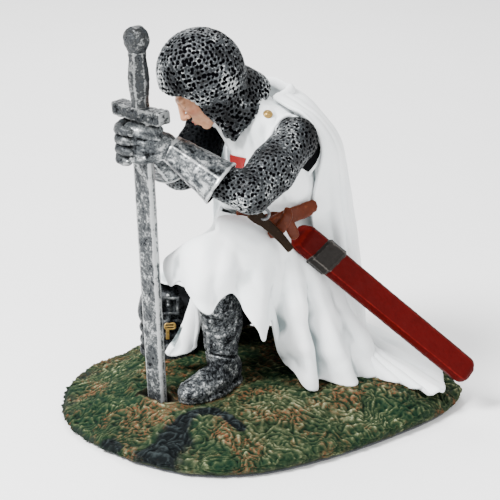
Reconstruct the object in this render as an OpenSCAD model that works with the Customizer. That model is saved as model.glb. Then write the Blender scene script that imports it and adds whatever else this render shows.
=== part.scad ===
// Painted miniature of a kneeling knight who leans on a sword, on an oval piece of ground.
// Millimetres. +Z up, the figure faces -Y and its left side is +X.
// The origin is the middle of the underside of the base.

/* [Base] */
// Length of the base from front to back
base_len = 98; // [96:0.5:100]
// Width of the base from side to side
base_wid = 93; // [91:0.5:95]
// Thickness of the felt pad under the base
pad_t = 0.8; // [0.5:0.1:1]
// Height of the rim of the ground above the table
rim_h = 3.4; // [3:0.1:4]
// Height of the level ground that the figure kneels on
ground_h = 9; // [8.8:0.1:9]

/* [Sword] */
// Lean of the sword away from upright, forwards
sword_lean = 3.2; // [2.5:0.1:3.5]
// Width of the blade under the guard
blade_w = 6.4; // [6:0.1:6.6]
// Thickness of the blade
blade_t = 2; // [1.8:0.1:2.2]
// Depth of the blade's point in the ground
socket_depth = 5; // [4:0.5:5.5]
// Length of the cross guard
guard_len = 18; // [17:0.2:18]
// Length of the grip
grip_len = 13.6; // [12:0.2:14]
// Radius of the wheel pommel
pommel_r = 3.4; // [3:0.1:3.6]
// Gap round the blade in the hands and in the ground
slide_gap = 0.25; // [0.2:0.05:0.35]

/* [Scabbard] */
// Length of the scabbard
scabbard_len = 57; // [55:0.5:58]
// Width of the scabbard across its flat
scabbard_w = 7.8; // [7.4:0.1:8.2]
// Thickness of the scabbard
scabbard_t = 4.6; // [4.2:0.1:4.8]

/* [Figure] */
// Radius of the skull part of the mail hood
hood_r = 11.3; // [11:0.1:11.5]
// Radius of a mail sleeve at the shoulder
sleeve_r = 6.2; // [6:0.1:6.3]
// Thickness of the cast cloth
cloth_t = 1.2; // [1:0.1:1.3]
// Width of the belt
belt_w = 4; // [3.6:0.1:4.2]
// Gap left for glue between two castings
glue_gap = 0.12; // [0.1:0.01:0.15]

/* [Hidden] */
$fn = 48;

// The base reaches a little further to the figure's left than to its right
base_shift = 1.6;

// Centres of the figure's joints
left_hip = [5.5, 9, ground_h + 29];
right_hip = [-10.5, 9, ground_h + 29];
left_knee = [6, -17, ground_h + 36];
left_ankle = [5.5, -10.5, ground_h + 6];
right_knee = [-22.4, -4.6, ground_h + 6.4];
right_ankle = [-20, 22, ground_h + 5];
left_shoulder = [17.5, 4.4, 75];
left_elbow = [20.5, -16.6, 62.8];
left_wrist = [2.2, -26.4, 75.8];
right_shoulder = [-15, 4, 74.5];
right_elbow = [-17.5, -5, 60.6];
right_wrist = [-9, -24, 74];
head_centre = [-2.5, -10.6, 91.2];
head_turn = -40;
head_bow = 42;

// The sword's own frame: its origin is where the blade enters the ground
sword_foot = [-1.8, -27.6, ground_h];
fist_axis = sword_foot - [0, 67 * sin(sword_lean), 0];
grip_start = 77.6;
guard_h = 3.8;
guard_t = 4.4;
hand_low = 63.3;
hand_high = 73.3;
fist_r = 4.6;
blade_foot_w = 5.6;

// The scabbard's own frame: its origin is the middle of its mouth, and it runs along its own +X
scabbard_mouth = [17.7, 5.9, 48];
scabbard_turn = 43;
scabbard_dip = 40.4;
scabbard_roll = -33;
band_from = 9.5;
band_to = 15.5;

waist = [-2.3, 8.5, 50];
waist_rx = 12;
waist_ry = 9.6;

function unit(v) = v / norm(v);
function mix(a, b, t) = a * (1 - t) + b * t;

// A level ring of n points with radii a and b, turned from -Y anticlockwise
function level_ring(c, a, b, n = 16) =
    [for (i = [0 : n - 1]) c + [a * cos(360 * i / n), b * sin(360 * i / n), 0]];

// A solid through rings that all have the same number of points, anticlockwise seen from the last
module skin(rings) {
    n = len(rings[0]);
    m = len(rings);
    polyhedron(
        points = [for (r = rings) each r],
        faces = concat(
            [[for (i = [0 : n - 1]) i]],
            [for (k = [0 : m - 2], i = [0 : n - 1])
                let (a = k * n + i, b = k * n + (i + 1) % n)
                each [[a, a + n, b], [b, a + n, b + n]]],
            [[for (i = [n - 1 : -1 : 0]) (m - 1) * n + i]]
        )
    );
}

// Outward normal of a grid of points at column j and row k; the columns wrap round if wrap is true
function grid_normal(g, j, k, wrap) =
    let (
        m = len(g),
        n = len(g[0]),
        before = wrap ? g[(j + m - 1) % m] : g[max(j - 1, 0)],
        after = wrap ? g[(j + 1) % m] : g[min(j + 1, m - 1)]
    )
    unit(cross(g[j][min(k + 1, n - 1)] - g[j][max(k - 1, 0)], after[k] - before[k]));

// A cloth of even thickness t under a grid of columns, each a list of points from the top down
module sheet(g, t, wrap) {
    m = len(g);
    n = len(g[0]);
    size = m * n;
    inner = [for (j = [0 : m - 1]) [for (k = [0 : n - 1]) g[j][k] - t * grid_normal(g, j, k, wrap)]];
    last = wrap ? m - 1 : m - 2;
    polyhedron(
        points = concat([for (c = g) each c], [for (c = inner) each c]),
        faces = concat(
            [for (j = [0 : last], k = [0 : n - 2])
                let (a = j * n + k, b = ((j + 1) % m) * n + k)
                each [[a, b, a + 1], [b, b + 1, a + 1]]],
            [for (j = [0 : last], k = [0 : n - 2])
                let (a = size + j * n + k, b = size + ((j + 1) % m) * n + k)
                each [[a, a + 1, b], [b, a + 1, b + 1]]],
            [for (j = [0 : last])
                let (a = j * n, b = ((j + 1) % m) * n)
                each [[a, a + size, b], [b, a + size, b + size]]],
            [for (j = [0 : last])
                let (a = j * n + n - 1, b = ((j + 1) % m) * n + n - 1)
                each [[a, b, a + size], [b, b + size, a + size]]],
            wrap ? [] : [for (k = [0 : n - 2]) each [[k, k + 1, k + size], [k + 1, k + 1 + size, k + size]]],
            wrap ? [] : [for (k = [0 : n - 2])
                let (a = (m - 1) * n + k)
                each [[a, a + size, a + 1], [a + 1, a + size, a + 1 + size]]]
        )
    );
}

// A round bar from a to b
module bar(a, b, ra, rb) {
    d = b - a;
    translate(a)
        rotate([0, acos(d.z / norm(d)), atan2(d.y, d.x)])
            cylinder(h = norm(d), r1 = ra, r2 = rb);
}

// Places its children in the sword's frame
module at_sword() {
    translate(sword_foot) rotate([sword_lean, 0, 0]) children();
}

// Places its children in the scabbard's frame
module at_scabbard() {
    translate(scabbard_mouth) rotate([0, 0, scabbard_turn]) rotate([0, scabbard_dip, 0])
        rotate([scabbard_roll, 0, 0]) children();
}

// Places its children in the head's frame, which looks along its own -Y
module at_head() {
    translate(head_centre) rotate([0, 0, head_turn]) rotate([head_bow, 0, 0]) children();
}

// ---- Base ----

// Plan of the base, as shares of its half width and half length
plan = [
    [1, 0.3], [0.98, 0.66], [0.85, 0.88], [0.5, 0.98], [0.1, 1], [-0.3, 0.96], [-0.62, 0.82], [-0.86, 0.58],
    [-0.97, 0.28], [-1, -0.05], [-0.92, -0.42], [-0.7, -0.7], [-0.42, -0.92], [-0.1, -1], [0.28, -1],
    [0.62, -0.89], [0.84, -0.63], [0.96, -0.2]
];

module base_plan(share) {
    translate([base_shift, 0]) polygon([for (p = plan) [p.x * base_wid / 2, p.y * base_len / 2] * share]);
}

module ground_slab(z, h, share) {
    translate([0, 0, z]) linear_extrude(h) base_plan(share);
}

// The slot that the blade's point stands in
module blade_slot() {
    at_sword()
        translate([-blade_foot_w / 2 - slide_gap, -blade_t / 2 - slide_gap, -socket_depth - 0.2])
            cube([blade_foot_w + 2 * slide_gap, blade_t + 2 * slide_gap, socket_depth + 10]);
}

module base_pad() {
    color("dimgray") ground_slab(0, pad_t, 0.985);
}

module ground() {
    color("olivedrab") difference() {
        union() {
            ground_slab(pad_t, rim_h - pad_t, 1);
            hull() {
                ground_slab(rim_h - 0.1, 0.1, 0.97);
                ground_slab(ground_h - 2.6, 0.1, 0.86);
            }
            hull() {
                ground_slab(ground_h - 2.6, 0.1, 0.86);
                ground_slab(ground_h - 0.1, 0.1, 0.68);
            }
        }
        blade_slot();
        for (p = dowel_feet) translate([p.x, p.y, ground_h - dowel_len / 2 - 0.2]) cylinder(h = dowel_len, r = dowel_r + 0.1);
    }
}

// Brass dowels that pin the figure to the ground
dowel_r = 0.8;
dowel_len = 7;
dowel_feet = [[5.8, -11], [-22.4, -4.6]];

module dowels() {
    color("goldenrod")
        for (p = dowel_feet) translate([p.x, p.y, ground_h - dowel_len / 2]) cylinder(h = dowel_len, r = dowel_r);
}

module dowel_holes() {
    for (p = dowel_feet)
        translate([p.x, p.y, ground_h - 1]) cylinder(h = dowel_len / 2 + 1.2, r = dowel_r + 0.1);
}

// ---- Legs ----

module above_ground() {
    translate([-60, -60, ground_h]) cube([120, 120, 120]);
}

module right_thigh_bar(grow = 0) {
    bar(mix(right_hip, right_knee, 0.24), mix(right_hip, right_knee, 0.98), 7.2 + grow, 6.2 + grow);
}

module left_thigh_bar(grow = 0) {
    bar(mix(left_hip, left_knee, 0.24), left_knee, 7.2 + grow, 5.7 + grow);
}

module left_foot() {
    color("slategray") difference() {
        intersection() {
            hull() {
                translate([5.4, -8.6, ground_h + 3]) sphere(r = 4.2, $fn = 24);
                translate([6.6, -18, ground_h + 2.2]) sphere(r = 4.4, $fn = 24);
                translate([7.6, -24, ground_h + 1.6]) sphere(r = 3.6, $fn = 24);
                translate([5.5, -10.4, ground_h + 7]) sphere(r = 4.2, $fn = 24);
            }
            translate([-60, -60, ground_h]) cube([120, 120, 7.4]);
        }
        dowel_holes();
    }
}

module left_shin() {
    low = [5.5, -10.6, ground_h + 7.5];
    color("slategray") difference() {
        skin([
            level_ring(low, 4.4, 4.8),
            level_ring(low + [0.2, 0, 6], 4.8, 5.4),
            level_ring(low + [0.6, 0, 13], 5.6, 6.2),
            level_ring(low + [0.8, -1, 21], 5.4, 5.8)
        ]);
        translate(left_knee) sphere(r = 5.8 + glue_gap, $fn = 32);
        left_thigh_bar(glue_gap);
    }
}

module left_thigh() {
    color("slategray") union() {
        translate(left_knee) sphere(r = 5.8, $fn = 32);
        left_thigh_bar();
    }
}

module right_thigh() {
    color("slategray") difference() {
        union() {
            intersection() {
                translate(right_knee) sphere(r = 6.6, $fn = 32);
                above_ground();
            }
            right_thigh_bar();
        }
        dowel_holes();
    }
}

module right_shin() {
    color("slategray") difference() {
        intersection() {
            bar(right_knee + [0, 0, -0.6], right_ankle, 5.6, 4.6);
            above_ground();
        }
        translate(right_knee) sphere(r = 6.6 + glue_gap, $fn = 32);
        right_thigh_bar(glue_gap);
    }
}

module right_foot() {
    color("slategray") intersection() {
        hull() {
            translate(right_ankle + [0, 4.6, -0.4]) sphere(r = 4.4, $fn = 24);
            translate(right_ankle + [0, 8.6, -2.6]) sphere(r = 2.4, $fn = 24);
        }
        above_ground();
        translate([-60, right_ankle.y + 0.2, 0]) cube([120, 60, 60]);
    }
}

module pelvis() {
    color("slategray") difference() {
        skin([
            level_ring([-2.5, 9.5, 33], 9, 6),
            level_ring([-2.5, 9.2, 36], 11, 8),
            level_ring([-2.4, 8.8, 44], 11.2, 8.4),
            level_ring(waist - [0, 0, 0.6], waist_rx - 1.7, waist_ry - 1.7)
        ]);
        left_thigh_bar(glue_gap);
        right_thigh_bar(glue_gap);
    }
}

// Plates on the kneeling knee: a curved plate, a raised frame on it and a brass strap buckle
plate_turn = 35;
plate_r = 7.8;
plate_h = 17.6;
plate_at = right_knee + [0, 0, -6.4];

module at_plate() {
    translate(plate_at) rotate([0, 0, plate_turn]) children();
}

// Undoes at_plate
module at_plate_back() {
    rotate([0, 0, -plate_turn]) translate(-plate_at) children();
}

module knee_plate() {
    color("dimgray") at_plate() difference() {
        cylinder(h = plate_h, r = plate_r);
        translate([0, 0, -1]) cylinder(h = plate_h + 2, r = plate_r - 0.8);
        translate([-12, -0.4, -1]) cube([24, 24, plate_h + 2]);
        at_plate_back() right_thigh_bar(glue_gap);
    }
}

module knee_frame() {
    color("gray") at_plate() translate([0, 0, 11.6]) intersection() {
        difference() {
            cylinder(h = 4.8, r = plate_r + 0.6);
            translate([0, 0, -1]) cylinder(h = 7, r = plate_r);
            translate([-2, -10, 0.8]) cube([4, 6, 3.2]);
        }
        translate([-2.8, -10, 0]) cube([5.6, 8, 4.8]);
    }
}

module knee_buckle() {
    color("goldenrod") at_plate() translate([0, 0, 6.6]) intersection() {
        difference() {
            cylinder(h = 3, r = plate_r + 0.7);
            translate([0, 0, -1]) cylinder(h = 5, r = plate_r);
            translate([-0.7, -10, 0.8]) cube([1.4, 6, 1.4]);
        }
        translate([-1.5, -10, 0]) cube([3, 8, 3]);
    }
}

// ---- Cloth ----

// Height at which cloth meets the ground
hem_z = ground_h + 0.5;

// Columns of the skirt from the belt down: each row is over the thigh, the edge of the fall, and the hem
skirt_columns = [
    [[-3, -4, 46.5], [-4, -12, 40], [-5, -15, 25]],
    [[1, -10, 53], [-1.5, -21.4, 48.8], [-2.5, -23.5, 32]],
    [[6, -13, 53.8], [6.5, -25.6, 49.8], [7, -27, 30]],
    [[11, -11, 53], [15, -21.5, 47.4], [15, -21.5, 33]],
    [[12.6, -4, 50.6], [16, -8, 45], [18, -10, 24]],
    [[13.4, 1, 49.4], [16.4, -1, 42], [16.4, -1, 25]],
    [[14, 5, 48], [17, 4, 38], [15, 4, hem_z]],
    [[14, 8.5, 47], [19, 7.5, 34], [27, 1.5, hem_z]],
    [[14, 12, 47], [19.6, 12.5, 34], [27, 10.5, hem_z]],
    [[13, 15, 47.5], [18.6, 17, 33], [31, 16, hem_z]],
    [[9, 18.5, 47.5], [15, 23, 31], [23, 25, hem_z]],
    [[3, 20, 47], [6, 26, 31], [11, 36, hem_z]],
    [[-4, 20, 47], [-5, 27, 31], [-6, 38.6, hem_z]],
    [[-10, 18.5, 46], [-15, 26, 31], [-19, 38, hem_z]],
    [[-15.5, 14, 45], [-24, 20, 31], [-30, 33, hem_z]],
    [[-17, 8, 44], [-26, 8, 32], [-34, 13, hem_z + 1.4]],
    [[-17, 2, 44], [-27, -2, 33], [-34, -3, 24]],
    [[-14, -1, 45], [-22, -9, 35], [-26, -15, 29]],
    [[-8, -2.5, 46], [-12, -10, 37], [-14, -15, 26]]
];

function skirt_grid() =
    let (m = len(skirt_columns))
    [for (j = [0 : m - 1])
        let (a = atan2(skirt_columns[j][0].y - waist.y, skirt_columns[j][0].x - waist.x))
        concat([waist + [waist_rx * cos(a), waist_ry * sin(a), 0]], skirt_columns[j])];

module skirt() {
    color("white") sheet(skirt_grid(), cloth_t, true);
}

// Columns of the mantle from the shoulder down to the ground, from the left edge to the right edge
mantle_columns = [
    [[17, 9.4, 78], [22, 13.4, 68], [23.4, 18, 50], [25, 21.6, 30], [30, 22, hem_z]],
    [[13, 12, 79.6], [18.4, 18.6, 69], [22, 23.4, 50], [26.6, 26.4, 30], [40, 24, hem_z - 1]],
    [[7, 14, 81], [11.6, 22.4, 70], [17, 27.6, 50], [21.4, 31.4, 29], [36, 35, hem_z - 0.4]],
    [[1, 15, 81.6], [3, 24, 70], [7, 31, 50], [10, 36, 28], [20, 43.4, hem_z]],
    [[-4, 15, 81.6], [-5, 24, 69], [-5, 32, 50], [-5, 37.4, 28], [-3, 46, hem_z]],
    [[-10, 13, 80.6], [-14, 20.5, 68], [-17, 26, 50], [-20, 33, 28], [-24, 42.6, hem_z]],
    [[-16, 9.4, 78], [-20, 14, 67], [-24, 18, 50], [-28, 24, 30], [-36, 35, hem_z]]
];

module mantle() {
    color("white") sheet(mantle_columns, cloth_t, false);
}

module mantle_collar() {
    color("white") sheet([
        for (a = [-60 : 20 : 60])
            let (c = [-1 + 10 * sin(a), 5.4 + 7 * cos(a), 0])
            [c + [1.2 * sin(a), 1.2, 85.4], c + [0, 0, 82.4]]
    ], cloth_t, false);
}

function chest_rings() = [
    level_ring([-2.3, 8.5, 50.4], waist_rx - 0.4, waist_ry - 0.4, 20),
    level_ring([-2.2, 7.5, 56], 12.4, 9.6, 20),
    level_ring([-1.2, 5.5, 64], 13.6, 9.6, 20),
    level_ring([0, 4, 72], 15, 8.4, 20),
    level_ring([0.3, 3, 78], 13.4, 7, 20),
    level_ring([0.3, 1.6, 81], 8.4, 5.6, 20)
];

module surcoat() {
    color("white") difference() {
        skin(chest_rings());
        sleeve(left_shoulder, left_elbow, left_wrist, glue_gap);
        sleeve(right_shoulder, right_elbow, right_wrist, glue_gap);
    }
}

// The flared cross on the chest, on a flat of its own
cross_at = [-1.5, -4.45, 66];

module cross_arm() {
    polygon([[-0.7, 0], [0.7, 0], [2, 4], [-2, 4]]);
}

module chest_cross() {
    color("firebrick") difference() {
        translate(cross_at) rotate([90 - 6, 0, 4]) linear_extrude(1)
            for (a = [0 : 90 : 270]) rotate(a) cross_arm();
        skin(chest_rings());
    }
}

module shoulder_stud() {
    color("gold") translate([11.2, -0.4, 80.2]) rotate([32, 24, 0]) {
        cylinder(h = 0.8, r = 1.5);
        translate([0, 0, 0.8]) cylinder(h = 0.5, r1 = 1.1, r2 = 0.7);
    }
}

// ---- Head ----

module skull(r) {
    sphere(r = r, $fn = 32);
}

module head() {
    color("peachpuff") at_head() difference() {
        union() {
            hull() {
                translate([0, -1.6, -1.6]) sphere(r = 8.2, $fn = 24);
                translate([0, -5, -8.6]) sphere(r = 4.2, $fn = 24);
            }
            translate([0, -9.4, -5]) rotate([20, 0, 0]) cylinder(h = 3.4, r1 = 1.4, r2 = 0.6, $fn = 16);
        }
    }
}

module hood_outside() {
    at_head() skull(hood_r);
    hull() {
        at_head() translate([0, 1.4, -4]) sphere(r = 9.4, $fn = 28);
        translate([-0.5, 0, 80.5]) sphere(r = 8.6, $fn = 28);
    }
    hull() {
        translate([-0.5, 0.4, 82]) sphere(r = 8.4, $fn = 28);
        translate([-1.5, 0, 77.6]) rotate([14, 0, 0]) cylinder(h = 1.4, r = 10.4, $fn = 28);
    }
}

module hood() {
    color("dimgray") difference() {
        hood_outside();
        at_head() {
            hull() {
                translate([0, -1.6, -1.6]) sphere(r = 8.2 + glue_gap, $fn = 24);
                translate([0, -5, -8.6]) sphere(r = 4.2 + glue_gap, $fn = 24);
            }
            hull() {
                translate([0, -8, -3.6]) sphere(r = 5.6, $fn = 24);
                translate([0, -14, -3.6]) sphere(r = 8, $fn = 24);
            }
        }
        skin(chest_rings());
        translate([0, 0, 57]) cube([80, 80, 40], center = true);
    }
}

// ---- Arms ----

// A ring of 16 points square to the direction d, starting at the side n of the arm's own plane
function arm_ring(c, d, n, r) =
    let (t = cross(unit(d), n))
    [for (i = [0 : 15]) c + r * (cos(22.5 * i) * n + sin(22.5 * i) * t)];

// A bent mail sleeve, swollen by grow: from the shoulder round the elbow and into the cuff
module sleeve(shoulder, elbow, wrist, grow = 0) {
    upper = elbow - shoulder;
    fore = wrist - elbow;
    n = unit(cross(upper, fore));
    skin([
        arm_ring(shoulder - unit(upper) * 4, upper, n, sleeve_r - 2.4 + grow),
        arm_ring(shoulder - unit(upper) * 1.6, upper, n, sleeve_r - 0.4 + grow),
        arm_ring(mix(shoulder, elbow, 0.3), upper, n, sleeve_r + grow),
        arm_ring(mix(shoulder, elbow, 0.74), upper, n, sleeve_r - 0.6 + grow),
        arm_ring(elbow - 0.7 * unit(unit(upper) - unit(fore)), unit(upper) + unit(fore), n, sleeve_r - 0.2 + grow),
        arm_ring(mix(elbow, wrist, 0.25), fore, n, sleeve_r - 1.5 + grow),
        arm_ring(mix(elbow, wrist, 0.48), fore, n, sleeve_r - 2.4 + grow)
    ]);
}

// A flared cuff round the forearm, open at the elbow end
module cuff_outside(elbow, wrist, grow = 0) {
    bar(mix(elbow, wrist, 0.34), mix(elbow, wrist, 0.96), 6.1 + grow, 3.7 + grow);
}

module cuff(elbow, wrist) {
    difference() {
        cuff_outside(elbow, wrist);
        bar(mix(elbow, wrist, 0.33), mix(elbow, wrist, 0.62), 5.5, 4.4);
    }
}

module left_sleeve() {
    color("dimgray") sleeve(left_shoulder, left_elbow, left_wrist);
}

module right_sleeve() {
    color("dimgray") sleeve(right_shoulder, right_elbow, right_wrist);
}

module left_cuff() {
    color("silver") cuff(left_elbow, left_wrist);
}

module right_cuff() {
    color("silver") difference() {
        cuff(right_elbow, right_wrist);
        fist(left_elbow, left_wrist, fist_r, glue_gap);
    }
}

// The hole that the blade slides through
module blade_tunnel() {
    at_sword()
        translate([-blade_w / 2 - slide_gap, -blade_t / 2 - slide_gap, hand_low - 4])
            cube([blade_w + 2 * slide_gap, blade_t + 2 * slide_gap, hand_high - hand_low + 8]);
}

// A closed fist round the blade, with the stub of the wrist
module fist(elbow, wrist, r, grow = 0) {
    at_sword() translate([0, 0, hand_low - grow]) cylinder(h = hand_high - hand_low + 2 * grow, r = r + grow);
    bar(mix(elbow, wrist, 0.92), [fist_axis.x, fist_axis.y, wrist.z - 1], 3.7 + grow, 4.4 + grow);
}

// Four fingers laid one above the other round the fist, from the far side across the front
module fingers() {
    pitch = (hand_high - hand_low) / 4;
    at_sword() for (i = [0 : 3])
        translate([0, 0, hand_low + (i + 0.5) * pitch]) rotate([0, 0, 100])
            rotate_extrude(angle = 195) translate([fist_r + 0.4, 0]) circle(r = pitch / 2 + 0.1, $fn = 16);
}

module left_hand() {
    color("silver") difference() {
        fist(left_elbow, left_wrist, fist_r);
        cuff_outside(left_elbow, left_wrist, glue_gap);
        blade_tunnel();
    }
}

module right_hand() {
    color("silver") difference() {
        union() {
            fingers();
            bar(mix(right_elbow, right_wrist, 0.92), [fist_axis.x - 3, fist_axis.y + 2, right_wrist.z - 2], 3.7, 3.9);
        }
        fist(left_elbow, left_wrist, fist_r, glue_gap);
        cuff_outside(right_elbow, right_wrist, glue_gap);
        cuff_outside(left_elbow, left_wrist, glue_gap);
    }
}

// ---- Belt and scabbard ----

module waist_band(z, h, grow) {
    translate([waist.x, waist.y, z]) linear_extrude(h)
        polygon([for (i = [0 : 31]) [(waist_rx + grow) * cos(i * 11.25), (waist_ry + grow) * sin(i * 11.25)]]);
}

module belt() {
    color("saddlebrown") difference() {
        waist_band(50.6, belt_w, 1.7);
        waist_band(49, belt_w + 4, 0.75);
    }
}

// The loose ends of the belt, folded over the knot
module belt_tails() {
    color("saddlebrown") {
        hull() {
            translate([15.4, 3, 51.8]) sphere(r = 1.5, $fn = 16);
            translate([15.6, 12.4, 54.4]) sphere(r = 1.4, $fn = 16);
        }
        hull() {
            translate([15.6, 2, 51.4]) sphere(r = 1.6, $fn = 16);
            translate([16.9, 1.8, 46.6]) sphere(r = 1.3, $fn = 16);
        }
    }
}

module belt_ring() {
    color("gray") translate([15, -4.2, 52.2]) rotate([70, 0, 60]) rotate_extrude()
        translate([1.7, 0]) circle(r = 0.5);
}

module scabbard_outline(grow) {
    offset(r = 1.6 + grow) square([scabbard_w - 3.2, scabbard_t - 3.2], center = true);
}

module scabbard() {
    color("darkred") at_scabbard() difference() {
        hull() {
            rotate([0, 90, 0]) linear_extrude(1) scabbard_outline(-0.5);
            translate([3, 0, 0]) rotate([0, 90, 0]) linear_extrude(1) scabbard_outline(0);
            translate([scabbard_len - 5, 0, 0]) rotate([0, 90, 0]) linear_extrude(1) scabbard_outline(0.1);
            translate([scabbard_len - 1, 0, 0]) rotate([0, 90, 0]) linear_extrude(1) scabbard_outline(-1);
        }
    }
}

module scabbard_band() {
    color("dimgray") at_scabbard() translate([band_from, 0, 0]) rotate([0, 90, 0])
        linear_extrude(band_to - band_from) difference() {
            scabbard_outline(0.9);
            scabbard_outline(0.15);
        }
}

module scabbard_hanger() {
    color("saddlebrown") hull() {
        translate([15.9, -4.1, 49.2]) sphere(r = 0.8, $fn = 16);
        translate([19.8, 2.8, 43]) sphere(r = 0.8, $fn = 16);
    }
}

// ---- Sword ----

module sword_blade() {
    color("silver") at_sword() hull() {
        translate([-blade_foot_w / 2, -blade_t / 2 + 0.6, -socket_depth]) cube([blade_foot_w, blade_t - 1.2, 0.1]);
        translate([-blade_foot_w / 2 + 0.8, -blade_t / 2, -socket_depth]) cube([blade_foot_w - 1.6, blade_t, 0.1]);
        translate([-blade_w / 2, -blade_t / 2 + 0.6, grip_start - guard_h - 0.1]) cube([blade_w, blade_t - 1.2, 0.1]);
        translate([-blade_w / 2 + 0.8, -blade_t / 2, grip_start - guard_h - 0.1]) cube([blade_w - 1.6, blade_t, 0.1]);
    }
}

module sword_guard() {
    color("gray") at_sword() hull() {
        translate([-guard_len / 2, -guard_t / 2 + 0.4, grip_start - guard_h + 0.5])
            cube([guard_len, guard_t - 0.8, guard_h - 1]);
        translate([-guard_len / 2 + 1, -guard_t / 2, grip_start - guard_h]) cube([guard_len - 2, guard_t, guard_h]);
    }
}

module sword_grip() {
    color("dimgray") at_sword() translate([0, 0, grip_start]) rotate_extrude()
        polygon([[0, 0], [2.35, 0], [2.85, grip_len * 0.45], [2.3, grip_len * 0.9], [2.5, grip_len], [0, grip_len]]);
}

module sword_pommel() {
    color("gray") at_sword() translate([0, 0, grip_start + grip_len + pommel_r - 0.2]) rotate([90, 0, 0])
        difference() {
            union() {
                translate([0, 0, -2]) cylinder(h = 4, r = pommel_r);
                translate([0, 0, -2.5]) cylinder(h = 5, r = pommel_r - 1.2);
            }
            translate([-10, -13 + 0.2 - pommel_r + 3, -10]) cube([20, 10, 20]);
        }
}

base_pad();
ground();
dowels();
left_foot();
left_shin();
left_thigh();
right_thigh();
right_shin();
right_foot();
pelvis();
knee_plate();
knee_frame();
knee_buckle();
skirt();
surcoat();
mantle();
mantle_collar();
chest_cross();
shoulder_stud();
head();
hood();
left_sleeve();
right_sleeve();
left_cuff();
right_cuff();
left_hand();
right_hand();
belt();
belt_tails();
belt_ring();
scabbard();
scabbard_band();
scabbard_hanger();
sword_blade();
sword_guard();
sword_grip();
sword_pommel();
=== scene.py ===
import math

import bmesh
import bpy
import numpy as np
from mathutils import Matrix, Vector
from mathutils.bvhtree import BVHTree
from mathutils.kdtree import KDTree


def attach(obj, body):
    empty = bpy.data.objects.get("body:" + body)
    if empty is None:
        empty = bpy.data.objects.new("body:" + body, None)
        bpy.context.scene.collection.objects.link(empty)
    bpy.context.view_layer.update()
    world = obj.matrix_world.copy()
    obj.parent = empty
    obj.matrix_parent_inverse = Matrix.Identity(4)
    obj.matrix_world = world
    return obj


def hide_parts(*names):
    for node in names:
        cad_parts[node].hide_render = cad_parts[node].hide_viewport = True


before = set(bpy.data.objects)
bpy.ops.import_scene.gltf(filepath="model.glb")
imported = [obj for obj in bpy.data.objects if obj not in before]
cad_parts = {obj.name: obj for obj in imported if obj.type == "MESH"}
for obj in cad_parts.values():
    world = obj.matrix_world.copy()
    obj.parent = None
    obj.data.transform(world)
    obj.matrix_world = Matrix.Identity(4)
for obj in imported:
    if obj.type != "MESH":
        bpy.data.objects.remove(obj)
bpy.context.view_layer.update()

MM = 0.001


# ---------------------------------------------------------------- camera and lights

def look_at(location, target):
    return (Vector(target) - Vector(location)).to_track_quat("-Z", "Y").to_euler()


AZ, EL, DIST = math.radians(45.0), math.radians(18.5), 560.0
TARGET = np.array([19.5, -15.0, 50.0])
BACK = np.array([math.sin(AZ) * math.cos(EL), -math.cos(AZ) * math.cos(EL), math.sin(EL)])
cam_data = bpy.data.cameras.new("camera")
cam_data.sensor_width = 36.0
cam_data.lens = 161.28
cam_data.clip_end = 10.0
cam = bpy.data.objects.new("camera", cam_data)
bpy.context.scene.collection.objects.link(cam)
cam.location = (TARGET + BACK * DIST) * MM
cam.rotation_euler = look_at(cam.location, TARGET * MM)
bpy.context.scene.camera = cam


def area_light(name, pos, size, power, color=(1, 1, 1)):
    data = bpy.data.lights.new(name, "AREA")
    data.shape = "DISK"
    data.size = size * MM
    data.energy = power
    data.color = color
    obj = bpy.data.objects.new(name, data)
    bpy.context.scene.collection.objects.link(obj)
    obj.location = np.array(pos) * MM
    obj.rotation_euler = look_at(obj.location, np.array([0, 0, 45]) * MM)


area_light("key", (-60, -440, 520), 240, 13.0)
area_light("fill", (520, -60, 240), 420, 1.6)
area_light("rim", (-380, 300, 420), 300, 2.4)

world = bpy.data.worlds.new("studio")
world.use_nodes = True
world.node_tree.nodes["Background"].inputs[0].default_value = (1, 1, 1, 1)
world.node_tree.nodes["Background"].inputs[1].default_value = 1.05
bpy.context.scene.world = world


# ---------------------------------------------------------------- mesh helpers (all in millimetres)

def make(name, verts, faces, mat, attrs=None, smooth=True):
    """A mesh object from numpy vertices in mm and faces, an array or a list of arrays."""
    verts = np.asarray(verts, float).reshape(-1, 3)
    me = bpy.data.meshes.new(name)
    if isinstance(faces, np.ndarray):
        n, k = faces.shape
        me.vertices.add(len(verts))
        me.vertices.foreach_set("co", (verts * MM).ravel())
        me.loops.add(n * k)
        me.loops.foreach_set("vertex_index", faces.ravel().astype(np.int32))
        me.polygons.add(n)
        me.polygons.foreach_set("loop_start", np.arange(0, n * k, k, dtype=np.int32))
        me.update(calc_edges=True)
        me.validate()
    else:
        me.from_pydata((verts * MM).tolist(), [], [list(map(int, f)) for f in faces])
        me.update()
    me.polygons.foreach_set("use_smooth", np.full(len(me.polygons), smooth))
    for key, val in (attrs or {}).items():
        a = me.attributes.new(key, "FLOAT", "POINT")
        a.data.foreach_set("value", np.asarray(val, np.float32).ravel())
    me.materials.append(mat)
    obj = bpy.data.objects.new(name, me)
    bpy.context.scene.collection.objects.link(obj)
    return obj


def quads(nu, nv, wrap_u=False, wrap_v=False):
    """Faces of a grid whose vertex (i, j) is i * nv + j."""
    iu = np.arange(nu if wrap_u else nu - 1)
    jv = np.arange(nv if wrap_v else nv - 1)
    i, j = np.meshgrid(iu, jv, indexing="ij")
    i2, j2 = (i + 1) % nu, (j + 1) % nv
    return np.stack([i * nv + j, i2 * nv + j, i2 * nv + j2, i * nv + j2], -1).reshape(-1, 4)


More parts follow.
